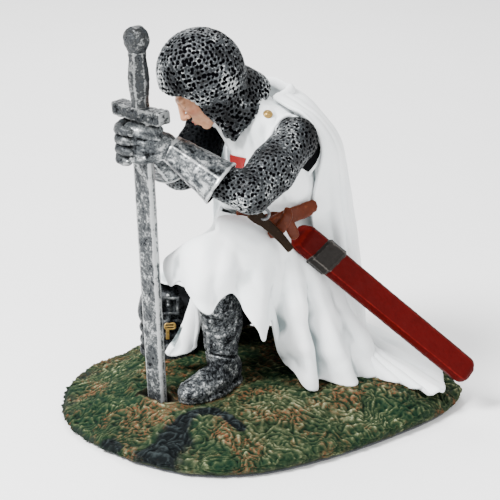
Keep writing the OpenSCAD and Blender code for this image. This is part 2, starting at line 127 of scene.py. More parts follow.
def catmull(pts, n, closed=False):
    """n points on a Catmull-Rom curve through pts, evenly spread in parameter."""
    p = np.asarray(pts, float)
    m = len(p)
    t = np.linspace(0, m if closed else m - 1, n, endpoint=not closed)
    i = np.minimum(np.floor(t).astype(int), (m - 1) if closed else (m - 2))
    f = (t - i).reshape((-1,) + (1,) * (p.ndim - 1))
    if closed:
        a, b, c, d = p[(i - 1) % m], p[i % m], p[(i + 1) % m], p[(i + 2) % m]
    else:
        q = np.concatenate([[2 * p[0] - p[1]], p, [2 * p[-1] - p[-2]]])
        a, b, c, d = q[i], q[i + 1], q[i + 2], q[i + 3]
    return 0.5 * ((2 * b) + (c - a) * f + (2 * a - 5 * b + 4 * c - d) * f ** 2
                  + (3 * b - a - 3 * c + d) * f ** 3)


def unit(v):
    v = np.asarray(v, float)
    return v / np.maximum(np.linalg.norm(v, axis=-1, keepdims=True), 1e-12)


def smoothstep(a, b, x):
    t = np.clip((np.asarray(x, float) - a) / (b - a), 0, 1)
    return t * t * (3 - 2 * t)


def around(n):
    """n angles evenly round a full turn."""
    return np.linspace(0, 2 * math.pi, n, endpoint=False)


def kd_tree(points):
    """A balanced tree that finds the nearest of the points."""
    kd = KDTree(len(points))
    for i, p in enumerate(points):
        kd.insert(p, i)
    kd.balance()
    return kd


def resample(p, n):
    """n points evenly spaced along the open polyline p."""
    s = np.concatenate([[0], np.cumsum(np.linalg.norm(np.diff(p, axis=0), axis=1))])
    t = np.linspace(0, s[-1], n)
    return np.stack([np.interp(t, s, p[:, k]) for k in range(p.shape[1])], 1)


def frames(path, up):
    """Side and normal along a path, with the normal carried along without twist."""
    t = unit(np.gradient(path, axis=0))
    nrm = np.zeros_like(path)
    n = unit(np.asarray(up, float) - t[0] * np.dot(up, t[0]))
    for k in range(len(path)):
        n = unit(n - t[k] * np.dot(n, t[k]))
        nrm[k] = n
    return np.cross(t, nrm), nrm


def tube(path, section, up):
    """Sweeps section(k) -> (side, normal) offsets along path; returns the grid of points."""
    side, nrm = frames(path, up)
    rows = []
    for k in range(len(path)):
        a, b = section(k)
        rows.append(path[k] + np.outer(a, side[k]) + np.outer(b, nrm[k]))
    return np.array(rows)


# vectorised gradient noise on a hashed lattice
def _hash(ix, iy, iz, seed):
    h = (ix * 374761393 + iy * 668265263 + iz * 2147483647 + seed * 1274126177) & 0xFFFFFFFF
    h = ((h ^ (h >> 13)) * 1274126177) & 0xFFFFFFFF
    return (h ^ (h >> 16)) & 0xFFFFFFFF


def noise(p, scale=1.0, seed=0):
    """Smooth noise in about -1..1 at points p."""
    p = np.asarray(p, float) * scale + 1000.0
    i = np.floor(p).astype(np.int64)
    f = p - i
    w = f * f * f * (f * (f * 6 - 15) + 10)
    total = 0
    for dx in (0, 1):
        for dy in (0, 1):
            for dz in (0, 1):
                h = _hash(i[..., 0] + dx, i[..., 1] + dy, i[..., 2] + dz, seed)
                a = h / 4294967296.0 * 2 * math.pi
                z = ((h * 2654435761) & 0xFFFFFFFF) / 4294967296.0 * 2 - 1
                r = np.sqrt(1 - z * z)
                g = (np.cos(a) * r * (f[..., 0] - dx) + np.sin(a) * r * (f[..., 1] - dy)
                     + z * (f[..., 2] - dz))
                total = total + g * (w[..., 0] if dx else 1 - w[..., 0]) * \
                    (w[..., 1] if dy else 1 - w[..., 1]) * (w[..., 2] if dz else 1 - w[..., 2])
    return total * 1.6


def fbm(p, scale=1.0, octaves=4, seed=0):
    """Noise summed over octaves, each twice as fine and half as strong as the one before."""
    out, amp = 0, 1.0
    for k in range(octaves):
        out = out + amp * noise(p, scale * 2 ** k, seed + 17 * k)
        amp *= 0.5
    return out


def edges_of(faces):
    k = faces.shape[1]
    e = np.concatenate([np.stack([faces[:, i], faces[:, (i + 1) % k]], 1) for i in range(k)])
    e = np.sort(e, 1)
    return np.unique(e, axis=0)


def relax(v, e, times):
    """Laplacian smoothing over the edges e."""
    n = len(v)
    deg = np.bincount(e.ravel(), minlength=n).astype(float)
    deg[deg == 0] = 1
    v = v.copy()
    for _ in range(times):
        s = np.stack([np.bincount(e[:, 0], v[e[:, 1], k], n) + np.bincount(e[:, 1], v[e[:, 0], k], n)
                      for k in range(v.shape[1])], 1)
        new = s / deg[:, None]
        v = v + 0.5 * (new - v)
    return v


def normals(v, f):
    if f.shape[1] == 4:
        fn = np.cross(v[f[:, 2]] - v[f[:, 0]], v[f[:, 3]] - v[f[:, 1]])
    else:
        fn = np.cross(v[f[:, 1]] - v[f[:, 0]], v[f[:, 2]] - v[f[:, 0]])
    n = np.zeros_like(v)
    for k in range(f.shape[1]):
        for c in range(3):
            n[:, c] += np.bincount(f[:, k], fn[:, c], len(v))
    return unit(n)


def cavity(v, f, times=6, scale=0.1):
    """How deep each vertex lies below its smoothed surroundings: positive in a hollow."""
    e = edges_of(f)
    return np.clip(((relax(v, e, times) - v) * normals(v, f)).sum(1) / scale, -1, 1)


def occlusion(points, nrm, tree, dist, rays=24, seed=3):
    """Share of the sky hidden within dist, by casting rays."""
    r = np.random.default_rng(seed)
    d = unit(r.normal(size=(rays, 3)))
    out = np.zeros(len(points))
    for k in range(len(points)):
        p, n = Vector(points[k] + nrm[k] * 0.05), nrm[k]
        hit = 0
        for q in d:
            w = q if np.dot(q, n) > 0 else -q
            if tree.ray_cast(p, Vector(w), dist)[0] is not None:
                hit += 1
        out[k] = hit / rays
    return out


# ---------------------------------------------------------------- material helpers

class Nodes:
    """A small helper round one Principled material."""

    def __init__(self, name, rough=0.6, metal=0.0, coat=0.0, spec=0.5):
        self.mat = bpy.data.materials.new(name)
        self.mat.use_nodes = True
        self.t = self.mat.node_tree
        self.b = self.t.nodes["Principled BSDF"]
        self.b.inputs["Roughness"].default_value = rough
        self.b.inputs["Metallic"].default_value = metal
        self.b.inputs["Coat Weight"].default_value = coat
        self.b.inputs["Specular IOR Level"].default_value = spec
        self.coord = self.new("ShaderNodeTexCoord").outputs["Object"]

    def new(self, kind, **kw):
        n = self.t.nodes.new(kind)
        for k, v in kw.items():
            setattr(n, k, v)
        return n

    def link(self, a, b):
        self.t.links.new(a, b)

    def noise(self, scale, detail=4, rough=0.6, distort=0.0):
        n = self.new("ShaderNodeTexNoise")
        n.inputs["Scale"].default_value = scale * 1000
        n.inputs["Detail"].default_value = detail
        n.inputs["Roughness"].default_value = rough
        n.inputs["Distortion"].default_value = distort
        self.link(self.coord, n.inputs["Vector"])
        return n.outputs["Fac"]

    def attr(self, name):
        return self.new("ShaderNodeAttribute", attribute_name=name).outputs["Fac"]

    def ramp(self, fac, stops):
        n = self.new("ShaderNodeValToRGB")
        el = n.color_ramp.elements
        while len(el) < len(stops):
            el.new(0.5)
        for e, (p, c) in zip(el, stops):
            e.position = p
            e.color = (*c, 1) if not isinstance(c, (int, float)) else (c, c, c, 1)
        self.link(fac, n.inputs["Fac"])
        return n.outputs["Color"]

    def math(self, op, a, b=None, clamp=False):
        n = self.new("ShaderNodeMath", operation=op, use_clamp=clamp)
        for s, v in zip(n.inputs, (a, b)):
            if v is None:
                continue
            if isinstance(v, (int, float)):
                s.default_value = v
            else:
                self.link(v, s)
        return n.outputs[0]

    def add(self, a, b, clamp=False):
        return self.math("ADD", a, b, clamp)

    def sub(self, a, b, clamp=False):
        return self.math("SUBTRACT", a, b, clamp)

    def mul(self, a, b, clamp=False):
        return self.math("MULTIPLY", a, b, clamp)

    def swing(self, v, amount):
        """A noise value's swing about its middle."""
        return self.mul(self.sub(v, 0.5), amount)

    def mix(self, fac, a, b):
        n = self.new("ShaderNodeMix", data_type="RGBA", blend_type="MIX")
        for i, v in ((0, fac), (6, a), (7, b)):
            s = n.inputs[i]
            if isinstance(v, (int, float)):
                s.default_value = v
            elif isinstance(v, tuple):
                s.default_value = (*v, 1)
            else:
                self.link(v, s)
        return n.outputs[2]

    def remap(self, v, a, b, c=0.0, d=1.0):
        n = self.new("ShaderNodeMapRange", clamp=True)
        for s, x in zip(n.inputs, (v, a, b, c, d)):
            if isinstance(x, (int, float)):
                s.default_value = x
            else:
                self.link(x, s)
        return n.outputs[0]

    def out(self, color=None, rough=None, metal=None, height=None, dist=0.05, strength=0.6):
        if color is not None:
            self.link(color, self.b.inputs["Base Color"])
        if rough is not None:
            self.link(rough, self.b.inputs["Roughness"])
        if metal is not None:
            self.link(metal, self.b.inputs["Metallic"])
        if height is not None:
            n = self.new("ShaderNodeBump")
            n.inputs["Distance"].default_value = dist * MM
            n.inputs["Strength"].default_value = strength
            self.link(height, n.inputs["Height"])
            self.link(n.outputs["Normal"], self.b.inputs["Normal"])
        return self.mat


# ---------------------------------------------------------------- materials

def paint_white():
    m = Nodes("white_paint", rough=0.55, spec=0.25)
    broad = m.noise(0.09, 3)
    fine = m.noise(1.6, 5, 0.7)
    base = m.mix(m.remap(broad, 0.35, 0.7), (0.82, 0.86, 0.87), (0.91, 0.93, 0.935))
    # Darker where cav is high, a grey wash in the hollows, and where ao is high, painted shade where the sky
    # is hidden
    wash_and_shade = m.add(m.mul(m.attr("cav"), 0.75), m.mul(m.attr("ao"), 0.85))
    wash_and_shade = m.add(wash_and_shade, m.swing(fine, 0.25), clamp=True)
    col = m.mix(m.remap(wash_and_shade, 0.10, 1.0), base, (0.24, 0.285, 0.29))
    specks = m.remap(m.noise(2.6, 2, 0.5), 0.78, 0.82)
    col = m.mix(m.mul(specks, 0.25), col, (0.38, 0.36, 0.33))
    return m.out(col, rough=m.remap(fine, 0.3, 0.7, 0.48, 0.66), height=fine, dist=0.03, strength=0.35)


def paint_mail():
    m = Nodes("mail_paint", rough=0.42, metal=0.5)
    pit, ao = m.attr("pit"), m.attr("ao")
    patch = m.noise(0.13, 3, 0.6)
    grit = m.noise(1.7, 4, 0.7)
    drybrush_and_shade = m.add(m.remap(patch, 0.36, 0.74), m.swing(grit, 2.4))
    drybrush_and_shade = m.sub(drybrush_and_shade, m.mul(m.attr("cav"), 0.45))
    # painted shade: where ao is high the mail paints near black and its specular is lowered
    drybrush_and_shade = m.sub(drybrush_and_shade, m.mul(ao, 1.1), clamp=True)
    net = m.ramp(drybrush_and_shade, [(0.0, (0.003, 0.0035, 0.004)), (0.30, (0.012, 0.014, 0.016)),
                         (0.60, (0.036, 0.041, 0.045)), (0.84, (0.090, 0.098, 0.102)),
                         (1.0, (0.46, 0.48, 0.48))])
    hole = m.remap(pit, 0.10, 0.45)
    col = m.mix(hole, net, (0.0015, 0.0015, 0.002))
    gloss = m.sub(0.42, m.mul(hole, 0.42))
    m.link(m.sub(gloss, m.mul(ao, 0.40), clamp=True), m.b.inputs["Specular IOR Level"])
    return m.out(col, rough=m.remap(grit, 0.3, 0.7, 0.34, 0.58), metal=m.remap(pit, 0.1, 0.5, 0.5, 0.0),
                 height=grit, dist=0.05, strength=0.5)


def paint_steel(name, bright, crackle=1.0, dark_bias=0.0):
    """Silver paint over black: hollows stay black, raised parts catch the silver."""
    m = Nodes(name, rough=0.4, metal=0.5)
    cav = m.attr("cav")
    blot = m.noise(0.32, 5, 0.68, 0.6)
    grit = m.noise(1.9, 5, 0.78, 0.4)
    k = m.add(m.mul(cav, -0.9), m.swing(blot, 3.3))
    k = m.add(k, m.swing(grit, 1.9 * crackle))
    k = m.add(k, 0.50 - dark_bias, clamp=True)
    col = m.ramp(k, [(0.0, (0.003, 0.0035, 0.004)), (0.22, (0.03, 0.034, 0.038)),
                     (0.45, (0.125 * bright, 0.138 * bright, 0.145 * bright)),
                     (0.75, (0.34 * bright, 0.365 * bright, 0.375 * bright)),
                     (1.0, (0.10 + 0.78 * bright, 0.105 + 0.80 * bright, 0.105 + 0.80 * bright))])
    m.link(m.remap(k, 0.0, 0.5, 0.03, 0.4), m.b.inputs["Specular IOR Level"])
    return m.out(col, rough=m.remap(k, 0.0, 1.0, 0.6, 0.33), metal=m.remap(k, 0.1, 0.5, 0.1, 0.6),
                 height=grit, dist=0.05, strength=0.55)


def paint_plain(name, color, shade, rough=0.5, coat=0.0, grain=1.2, edge=None, dist=0.05, metal=0.0,
                spec=0.3):
    """Brushed-on colour with a darker wash in the hollows and a lighter edge."""
    m = Nodes(name, rough=rough, coat=coat, metal=metal, spec=spec)
    n = m.noise(grain, 5, 0.65)
    broad = m.noise(0.22, 3)
    k = m.add(m.attr("cav"), m.swing(n, 1.0))
    col = m.mix(m.remap(k, 0.0, 0.8), color, shade)
    col = m.mix(m.remap(broad, 0.4, 0.75, 0.0, 0.45), col, shade)
    if edge:
        col = m.mix(m.remap(k, -0.35, -0.9), col, edge)
    return m.out(col, rough=m.remap(n, 0.3, 0.7, rough - 0.08, rough + 0.1), height=n, dist=dist,
                 strength=0.3)


def paint_skin():
    m = Nodes("skin_paint", rough=0.55, spec=0.2)
    n = m.noise(0.9, 4, 0.6)
    blush = m.attr("blush")
    base = m.mix(m.remap(n, 0.35, 0.7), (0.56, 0.27, 0.145), (0.66, 0.36, 0.22))
    col = m.mix(m.mul(blush, 0.75), base, (0.36, 0.075, 0.045))
    col = m.mix(m.mul(m.attr("lip"), 0.85), col, (0.38, 0.07, 0.07))
    col = m.mix(m.mul(m.attr("hair"), 0.9), col, (0.10, 0.05, 0.03))
    col = m.mix(m.remap(m.attr("cav"), 0.1, 0.9, 0.0, 0.8), col, (0.22, 0.09, 0.05))
    m.b.inputs["Subsurface Weight"].default_value = 0.08
    m.b.inputs["Subsurface Radius"].default_value = (0.001, 0.0004, 0.0002)
    return m.out(col, rough=m.remap(n, 0.3, 0.7, 0.42, 0.58), height=n, dist=0.02, strength=0.3)


def paint_ground():
    m = Nodes("ground_paint", rough=0.75, spec=0.05)
    high = m.attr("high")
    fine = m.noise(0.9, 5, 0.7, 0.6)
    patch = m.noise(0.05, 3, 0.6)
    k = m.add(high, m.swing(fine, 0.9))
    green = m.ramp(k, [(0.0, (0.0012, 0.004, 0.0025)), (0.30, (0.004, 0.016, 0.008)),
                       (0.60, (0.014, 0.027, 0.012)), (0.86, (0.054, 0.067, 0.031)),
                       (1.0, (0.20, 0.22, 0.12))])
    dull = m.ramp(k, [(0.0, (0.002, 0.004, 0.0025)), (0.32, (0.009, 0.018, 0.008)),
                      (0.64, (0.036, 0.044, 0.021)), (0.88, (0.105, 0.112, 0.062)),
                      (1.0, (0.24, 0.24, 0.14))])
    col = m.mix(m.remap(patch, 0.42, 0.60), green, dull)
    worm = m.noise(0.36, 4, 0.62, 2.4)
    thread = m.sub(1.0, m.math("ABSOLUTE", m.swing(worm, 15.0)))
    where = m.remap(m.noise(0.10, 3, 0.6), 0.45, 0.60)
    red = m.mul(m.mul(thread, where, clamp=True), m.remap(k, 0.2, 0.5), clamp=True)
    col = m.mix(m.mul(m.remap(red, 0.2, 0.8), 0.55), col, (0.18, 0.034, 0.014))
    rust = m.mul(m.remap(m.noise(0.22, 4, 0.7), 0.56, 0.70), m.remap(k, 0.3, 0.7))
    col = m.mix(m.mul(rust, 0.30), col, (0.12, 0.035, 0.012))
    ash = m.ramp(k, [(0.0, (0.001, 0.0014, 0.0016)), (0.5, (0.003, 0.0045, 0.005)),
                     (0.9, (0.020, 0.026, 0.027))])
    col = m.mix(m.attr("coal"), col, ash)
    col = m.mix(m.attr("edge"), col, (0.010, 0.015, 0.012))
    # painted shadow in the slot round the blade's point
    col = m.mix(m.attr("slot"), col, (0.001, 0.001, 0.001))
    return m.out(col, rough=m.remap(fine, 0.3, 0.7, 0.62, 0.85), height=fine, dist=0.16, strength=0.6)


def felt():
    m = Nodes("felt", rough=0.95, spec=0.1)
    fib = m.noise(3.0, 6, 0.8, 1.5)
    m.b.inputs["Sheen Weight"].default_value = 0.4
    col = m.mix(m.remap(fib, 0.3, 0.7), (0.018, 0.02, 0.024), (0.075, 0.08, 0.088))
    return m.out(col, height=fib, dist=0.12, strength=0.8)


M_WHITE = paint_white()
M_MAIL = paint_mail()
M_BOOT = paint_steel("boot_paint", 0.42, 1.6, 0.20)
M_GAUNT = paint_steel("gauntlet_paint", 0.40, 1.0, 0.05)
# painted shade: the gauntlet's silver paint made darker for the far side, also used on the far knee's
# ornament
M_GAUNT_SHADED = paint_steel("far_gauntlet_shaded_paint", 0.20, 1.0, 0.16)
M_KNEE = paint_steel("knee_armour_paint", 0.22, 0.9, 0.40)
M_SWORD = paint_steel("sword_paint", 0.095, 0.9, 0.11)
M_BLADE = paint_steel("blade_paint", 0.25, 1.0, -0.06)
M_DARK = paint_plain("dark_armour_paint", (0.010, 0.011, 0.013), (0.003, 0.003, 0.004), 0.5,
                     edge=(0.12, 0.13, 0.14), spec=0.15)
M_BAND = paint_plain("band_paint", (0.015, 0.013, 0.0115), (0.008, 0.007, 0.006), 0.45,
                     edge=(0.085, 0.078, 0.07), dist=0.08, spec=0.08)
M_BROWN = paint_plain("leather_paint", (0.070, 0.012, 0.0025), (0.013, 0.003, 0.0012), 0.38,
                      edge=(0.15, 0.036, 0.010), spec=0.14)
M_OLIVE = paint_plain("strap_paint", (0.012, 0.0062, 0.0026), (0.003, 0.0018, 0.001), 0.45,
                      edge=(0.06, 0.036, 0.016), spec=0.06)
M_RED = paint_plain("red_paint", (0.24, 0.003, 0.003), (0.12, 0.002, 0.002), 0.45, grain=1.8)
M_SCAB = paint_plain("scabbard_paint", (0.052, 0.0007, 0.0005), (0.036, 0.0005, 0.0004), 0.5, grain=0.4,
                     edge=(0.11, 0.004, 0.003), dist=0.012, spec=0.05)
M_GOLD = paint_plain("gold_paint", (0.34, 0.215, 0.06), (0.07, 0.038, 0.010), 0.32, edge=(0.90, 0.74, 0.36),
                     metal=0.5)
# painted shadow: near-black paint for the sheet inside the near arm hole
M_ARM_HOLE_SHADOW = paint_plain("arm_hole_shadow_paint", (0.0025, 0.0026, 0.003), (0.001, 0.001, 0.0012), 0.8, spec=0.02)
M_RING = paint_plain("ring_paint", (0.10, 0.105, 0.11), (0.015, 0.015, 0.016), 0.4, edge=(0.45, 0.45, 0.45),
                     metal=0.4)
M_SKIN = paint_skin()
M_GROUND = paint_ground()
M_FELT = felt()
M_BRASS = paint_plain("brass_wire", (0.62, 0.42, 0.16), (0.35, 0.2, 0.06), 0.3, metal=0.9)


# ---------------------------------------------------------------- shared shapes

GROUND_Z = 9.0
BASE_X = 1.6  # where the base's middle lies across the figure
FIG, SWORD = "figure", "sword"


def plain(name, v, f, mat, body, nodes=(), cav_scale=0.1, cav_times=6, extra=None):
    """A finished piece with its hollows measured, riding on a body and replacing CAD nodes."""
    f = outward(v, f)
    attrs = {"cav": cavity(v, f, cav_times, cav_scale), "ao": np.zeros(len(v))}
    attrs.update(extra or {})
    obj = make(name, v, f, mat, attrs)
    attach(obj, body)
    if nodes:
        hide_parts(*nodes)
    return obj


def outward(v, *face_sets):
    """The face sets with their order reversed if they enclose a negative volume."""
    vol = 0.0
    for f in face_sets:
        for k in range(1, f.shape[1] - 1):
            vol += (v[f[:, 0]] * np.cross(v[f[:, k]], v[f[:, k + 1]])).sum()
    out = [f if vol > 0 else f[:, ::-1] for f in face_sets]
    return out[0] if len(out) == 1 else out


def closed_tube(rows):
    """Vertices and quad faces of a tube of rings, closed at both ends by shrinking rings."""
    rows = np.asarray(rows)
    def ends(ring, inward):
        c = ring.mean(0)
        return [c + (ring - c) * s + inward * d
                for s, d in ((0.92, 0.4), (0.72, 0.75), (0.42, 0.95), (0.12, 1.0))]
    ln = np.linalg.norm(rows[0] - rows[0].mean(0), axis=1).mean()
    d0 = unit(rows[0].mean(0) - rows[1].mean(0)) * ln * 0.3
    ln1 = np.linalg.norm(rows[-1] - rows[-1].mean(0), axis=1).mean()
    d1 = unit(rows[-1].mean(0) - rows[-2].mean(0)) * ln1 * 0.3
    g = np.array(ends(rows[0], d0)[::-1] + list(rows) + ends(rows[-1], d1))
    nu, nv = g.shape[:2]
    f = quads(nu, nv, wrap_v=True)
    v = g.reshape(-1, 3)
    c0, c1 = len(v), len(v) + 1
    v = np.concatenate([v, [g[0].mean(0), g[-1].mean(0)]])
    j = np.arange(nv)
    cap0 = np.stack([np.full(nv, c0), j, (j + 1) % nv, (j + 1) % nv], 1)
    cap1 = np.stack([np.full(nv, c1), (nu - 1) * nv + (j + 1) % nv, (nu - 1) * nv + j, (nu - 1) * nv + j], 1)
    return (v, *outward(v, f, cap0[:, :3], cap1[:, :3]))


def loft(name, mat, body, nodes, rings, times=8, scale=0.08, rough=0.05, seed=1):
    """A solid skinned over equal-length rings of points, closed at both ends."""
    v, f, a, b = closed_tube(np.array(rings))
    if rough:
        v = v + normals(v, f) * (fbm(v, 0.9, 3, seed) * rough)[:, None]
    attrs = {"cav": cavity(v, f, times, scale), "ao": np.zeros(len(v))}
    obj = make(name, v, [*f.tolist(), *a.tolist(), *b.tolist()], mat, attrs)
    fix_normals(obj)
    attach(obj, body)
    if nodes:
        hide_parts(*nodes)
    return obj


def fix_normals(obj):
    bm = bmesh.new()
    bm.from_mesh(obj.data)
    bmesh.ops.recalc_face_normals(bm, faces=bm.faces)
    bm.to_mesh(obj.data)
    bm.free()


def shell(grid, thick, closed):
    """A closed sheet of cloth from a grid (columns, rows): outside, hem, inside, top edge."""
    nu, nv = grid.shape[:2]
    f = quads(nu, nv, wrap_u=closed)
    n = normals(grid.reshape(-1, 3), f).reshape(grid.shape)
    inner = grid - n * thick
    def edge(o, i, d):
        return [o * 0.85 + i * 0.15 + d * thick * 0.3, (o + i) / 2 + d * thick * 0.45,
                o * 0.15 + i * 0.85 + d * thick * 0.3]
    low = unit(grid[:, -1] - grid[:, -2])
    top = unit(grid[:, 0] - grid[:, 1])
    rows = [grid[:, k] for k in range(nv)] + edge(grid[:, -1], inner[:, -1], low) + \
        [inner[:, k] for k in range(nv - 1, -1, -1)] + edge(inner[:, 0], grid[:, 0], top)
    g = np.stack(rows, 1)
    m = g.shape[1]
    faces = quads(nu, m, wrap_u=closed, wrap_v=True)
    v = g.reshape(-1, 3)
    if not closed:
        caps = []
        for col, flip in ((0, False), (nu - 1, True)):
            o = col * m + np.arange(nv + 1)
            i = col * m + (2 * nv + 2 - np.arange(nv + 1))
            q = np.stack([o[:-1], i[:-1], i[1:], o[1:]], 1)
            caps.append(q if flip else q[:, ::-1])
        faces = np.concatenate([faces] + caps)
    return v, faces


def smooth_grid(cols, nu, nv, closed):
    """A fine grid (nu columns, nv rows) through columns of control points."""
    g = catmull(np.asarray(cols, float), nu, closed)
    g = catmull(np.swapaxes(g, 0, 1), nv * 2)
    g = np.swapaxes(g, 0, 1)
    return np.array([resample(c, nv) for c in g])


# ---------------------------------------------------------------- ground and pad

OUTLINE = np.array([(48.0, 15), (46.6, 32), (40.5, 43), (24, 48.2), (6, 48.9), (-12, 47), (-27.5, 40),
                    (-38.5, 28), (-43.6, 13), (-44.8, -2), (-41.2, -20), (-31, -34.5), (-17.5, -45),
                    (-3, -48.8), (14.5, -49), (30, -43.6), (40.6, -31), (46.2, -10)])


def outline_radius(theta):
    """Distance from the base's centre to its edge in the direction theta."""
    c = np.array([BASE_X, 0.0])
    p = catmull(OUTLINE, 720, closed=True) - c
    a = np.unwrap(np.arctan2(p[:, 1], p[:, 0]))
    r = np.hypot(p[:, 0], p[:, 1])
    if a[-1] < a[0]:
        a, r = a[::-1], r[::-1]
    return np.interp((theta - a[0]) % (2 * math.pi), a - a[0], r, period=2 * math.pi)


SWORD_FOOT = np.array([-1.8, -27.6, GROUND_Z])
LEAN = math.radians(3.2)
SWORD_UP = np.array([0, -math.sin(LEAN), math.cos(LEAN)])
SWORD_BACK = np.array([0, math.cos(LEAN), math.sin(LEAN)])


def worms(xy, seed):
    """Swirling ridges like thick brushed paste."""
    p = np.concatenate([xy, np.zeros((len(xy), 1))], 1)
    warp = np.stack([fbm(p, 0.10, 3, seed), fbm(p, 0.10, 3, seed + 5), np.zeros(len(p))], 1) * 4.6
    field = noise(p + warp, 0.13, seed + 9) * 3.4 + noise(p + warp * 0.6, 0.40, seed + 3) * 1.1
    ridge = 1 - np.abs((field % 1.0) * 2 - 1)
    return ridge * ridge * (3 - 2 * ridge)


def ground_height(xy, rho):
    """Height of the ground at plan points xy, rho being 0 at the middle and 1 at the rim."""
    p = np.concatenate([xy, np.zeros((len(xy), 1))], 1)
    x, y = xy[:, 0], xy[:, 1]
    left = smoothstep(-0.2, 1.0, (-x - y * 0.5) / 50)
    rim = 4.2 - 2.6 * left
    z = rim + (GROUND_Z - rim) * (1 - smoothstep(0.60 - 0.14 * left, 0.985, rho))
    def bump(cx, cy, s, a):
        return a * np.exp(-((x - cx) ** 2 + (y - cy) ** 2) / (2 * s * s))
    z = z + bump(41, 19, 4.6, 2.4) + bump(35, 13, 5, 1.0) + bump(22.5, -4, 4.5, 0.8) + bump(-14, -33, 6, 0.8)
    z = z + bump(26, -30, 6, 0.5) - bump(6, -38, 6, 0.5)
    calm = np.exp(-((x + 3) ** 2 + (y - 6) ** 2) / (2 * 15 ** 2))
    z = z + fbm(p, 0.085, 3, 11) * 0.75 * (1 - 0.6 * calm)
    w = worms(xy, 21)
    z = z + (w - 0.5) * 0.40 * (1 - 0.45 * calm) + fbm(p, 0.42, 4, 31) * 0.46 + fbm(p, 1.1, 3, 33) * 0.16
    foot = np.hypot(x - SWORD_FOOT[0], (y - SWORD_FOOT[1]) * 1.2)
    z = z + (GROUND_Z - 0.1 - z) * (1 - smoothstep(3.2, 7.0, foot)) * 0.85
    boot = np.hypot((x - 6.4) / 0.9, (y + 20) / 1.5)
    z = z + (7.2 - z) * (1 - smoothstep(5.0, 9.5, boot)) * 0.8
    return z, w


def build_ground():
    n = 286
    a = np.linspace(-1, 1, n)
    u, v = np.meshgrid(a, a, indexing="ij")
    x = u * np.sqrt(1 - v * v / 2)
    y = v * np.sqrt(1 - u * u / 2)
    rho = np.hypot(x, y).ravel()
    theta = np.arctan2(y, x).ravel()
    r = outline_radius(theta)
    xy = np.stack([BASE_X + np.cos(theta) * r * rho, np.sin(theta) * r * rho], 1)
    z, w = ground_height(xy, rho)
    z = z - 0.9 * smoothstep(0.975, 1.0, rho)
    top = np.concatenate([xy, z[:, None]], 1)
    f = quads(n, n)
    idx = np.arange(n * n).reshape(n, n)
    loop = np.concatenate([idx[:-1, 0], idx[-1, :-1], idx[:0:-1, -1], idx[0, :0:-1]])
    m = len(loop)
    rim, rows, faces = top[loop], [], [f]
    rings = 13
    start, prev = n * n, loop
    for k in range(1, rings + 1):
        t = k / rings
        ring = rim.copy()
        out = unit(np.c_[rim[:, :2] - [BASE_X, 0], np.zeros(m)])
        ring[:, 2] = rim[:, 2] * (1 - t) + 0.8 * t
        wrapped = np.c_[ring[:, 0] - ring[:, 1], ring[:, 2] * 2.4 + ring[:, 1] * 0.2]
        lump = fbm(ring, 0.45, 4, 41) * 0.55 + (worms(wrapped, 55) - 0.5) * 0.35
        swell = 0.35 * math.sin(math.pi * min(1.0, t * 1.15)) - 0.5 * t
        bulge = swell + lump * math.sin(math.pi * (0.12 + 0.80 * t)) ** 0.5 - 0.35 * (t > 0.99)
        ring += out * bulge[:, None]
        rows.append(ring)
        cur = start + (k - 1) * m + np.arange(m)
        faces.append(np.stack([prev, cur, np.roll(cur, -1), np.roll(prev, -1)], 1))
        prev = cur
    centre = rows[-1].mean(0)
    inner = rows[-1] * 0.5 + centre * 0.5
    rows.append(inner)
    cur = start + rings * m + np.arange(m)
    faces.append(np.stack([prev, cur, np.roll(cur, -1), np.roll(prev, -1)], 1))
    v_all = np.concatenate([top] + rows)
    f_all = np.concatenate(faces)
    half = m // 2
    strip = np.stack([cur[:half - 1], cur[m - 1:half:-1][:half - 1], cur[m - 2:half - 1:-1][:half - 1],
                      cur[1:half]], 1)
    f_all = np.concatenate([f_all, strip[:, ::-1]])
    # the slot round the blade's point, sunk into the ground
    d = v_all - SWORD_FOOT
    inside = (np.abs(d[:, 0] - 0.2) < 4.5) & (np.abs(d[:, 1] + 0.4) < 2.5) & (v_all[:, 2] > 6)
    v_all[inside, 2] -= 3.0
    cav = cavity(v_all, outward(v_all, f_all), 14, 0.26)
    high = np.clip(0.46 - 0.36 * cav + fbm(v_all, 0.10, 3, 71) * 0.18, 0, 1)
    high[:n * n] += (w - 0.5) * 0.18
    # a charcoal scorch shaped like a branching root in front of the boot
    x, y = v_all[:, 0], v_all[:, 1]
    def near(ax, ay, bx, by, r0, r1):
        t = np.clip(((x - ax) * (bx - ax) + (y - ay) * (by - ay)) / ((bx - ax) ** 2 + (by - ay) ** 2), 0, 1)
        dist = np.hypot(x - ax - t * (bx - ax), y - ay - t * (by - ay))
        return dist / (r0 + (r1 - r0) * t)
    lumpy = fbm(np.c_[x, y, np.zeros(len(x))], 0.22, 3, 91) * 0.35
    reach = np.minimum.reduce([near(14, -32, 19, -46, 2.0, 7.0), near(14, -32, 17, -25.5, 2.0, 1.9),
                               near(17, -25.5, 27.5, -26.5, 1.7, 1.5),
                               near(2, -48, 5, -49, 2.2, 2.2)]) + lumpy
    coal = 1 - smoothstep(0.75, 1.25, reach)
    coal = coal * (v_all[:, 2] > 1.2)
    edge = 1 - smoothstep(0.8, 2.4, v_all[:, 2] + fbm(v_all, 0.35, 2, 15) * 1.0)
    # painted shadow: the slot and a margin round its mouth paint near black
    slot = np.maximum(inside, 0.85 * ((np.abs(d[:, 0] - 0.2) < 5.2) & (np.abs(d[:, 1] + 0.4) < 3.2)
                                      & (v_all[:, 2] > 5.5)))
    return plain("ground_cover", v_all, f_all, M_GROUND, FIG, ("ground",), extra={
        "high": high, "coal": coal, "edge": edge * 0.85, "slot": slot})


build_ground()


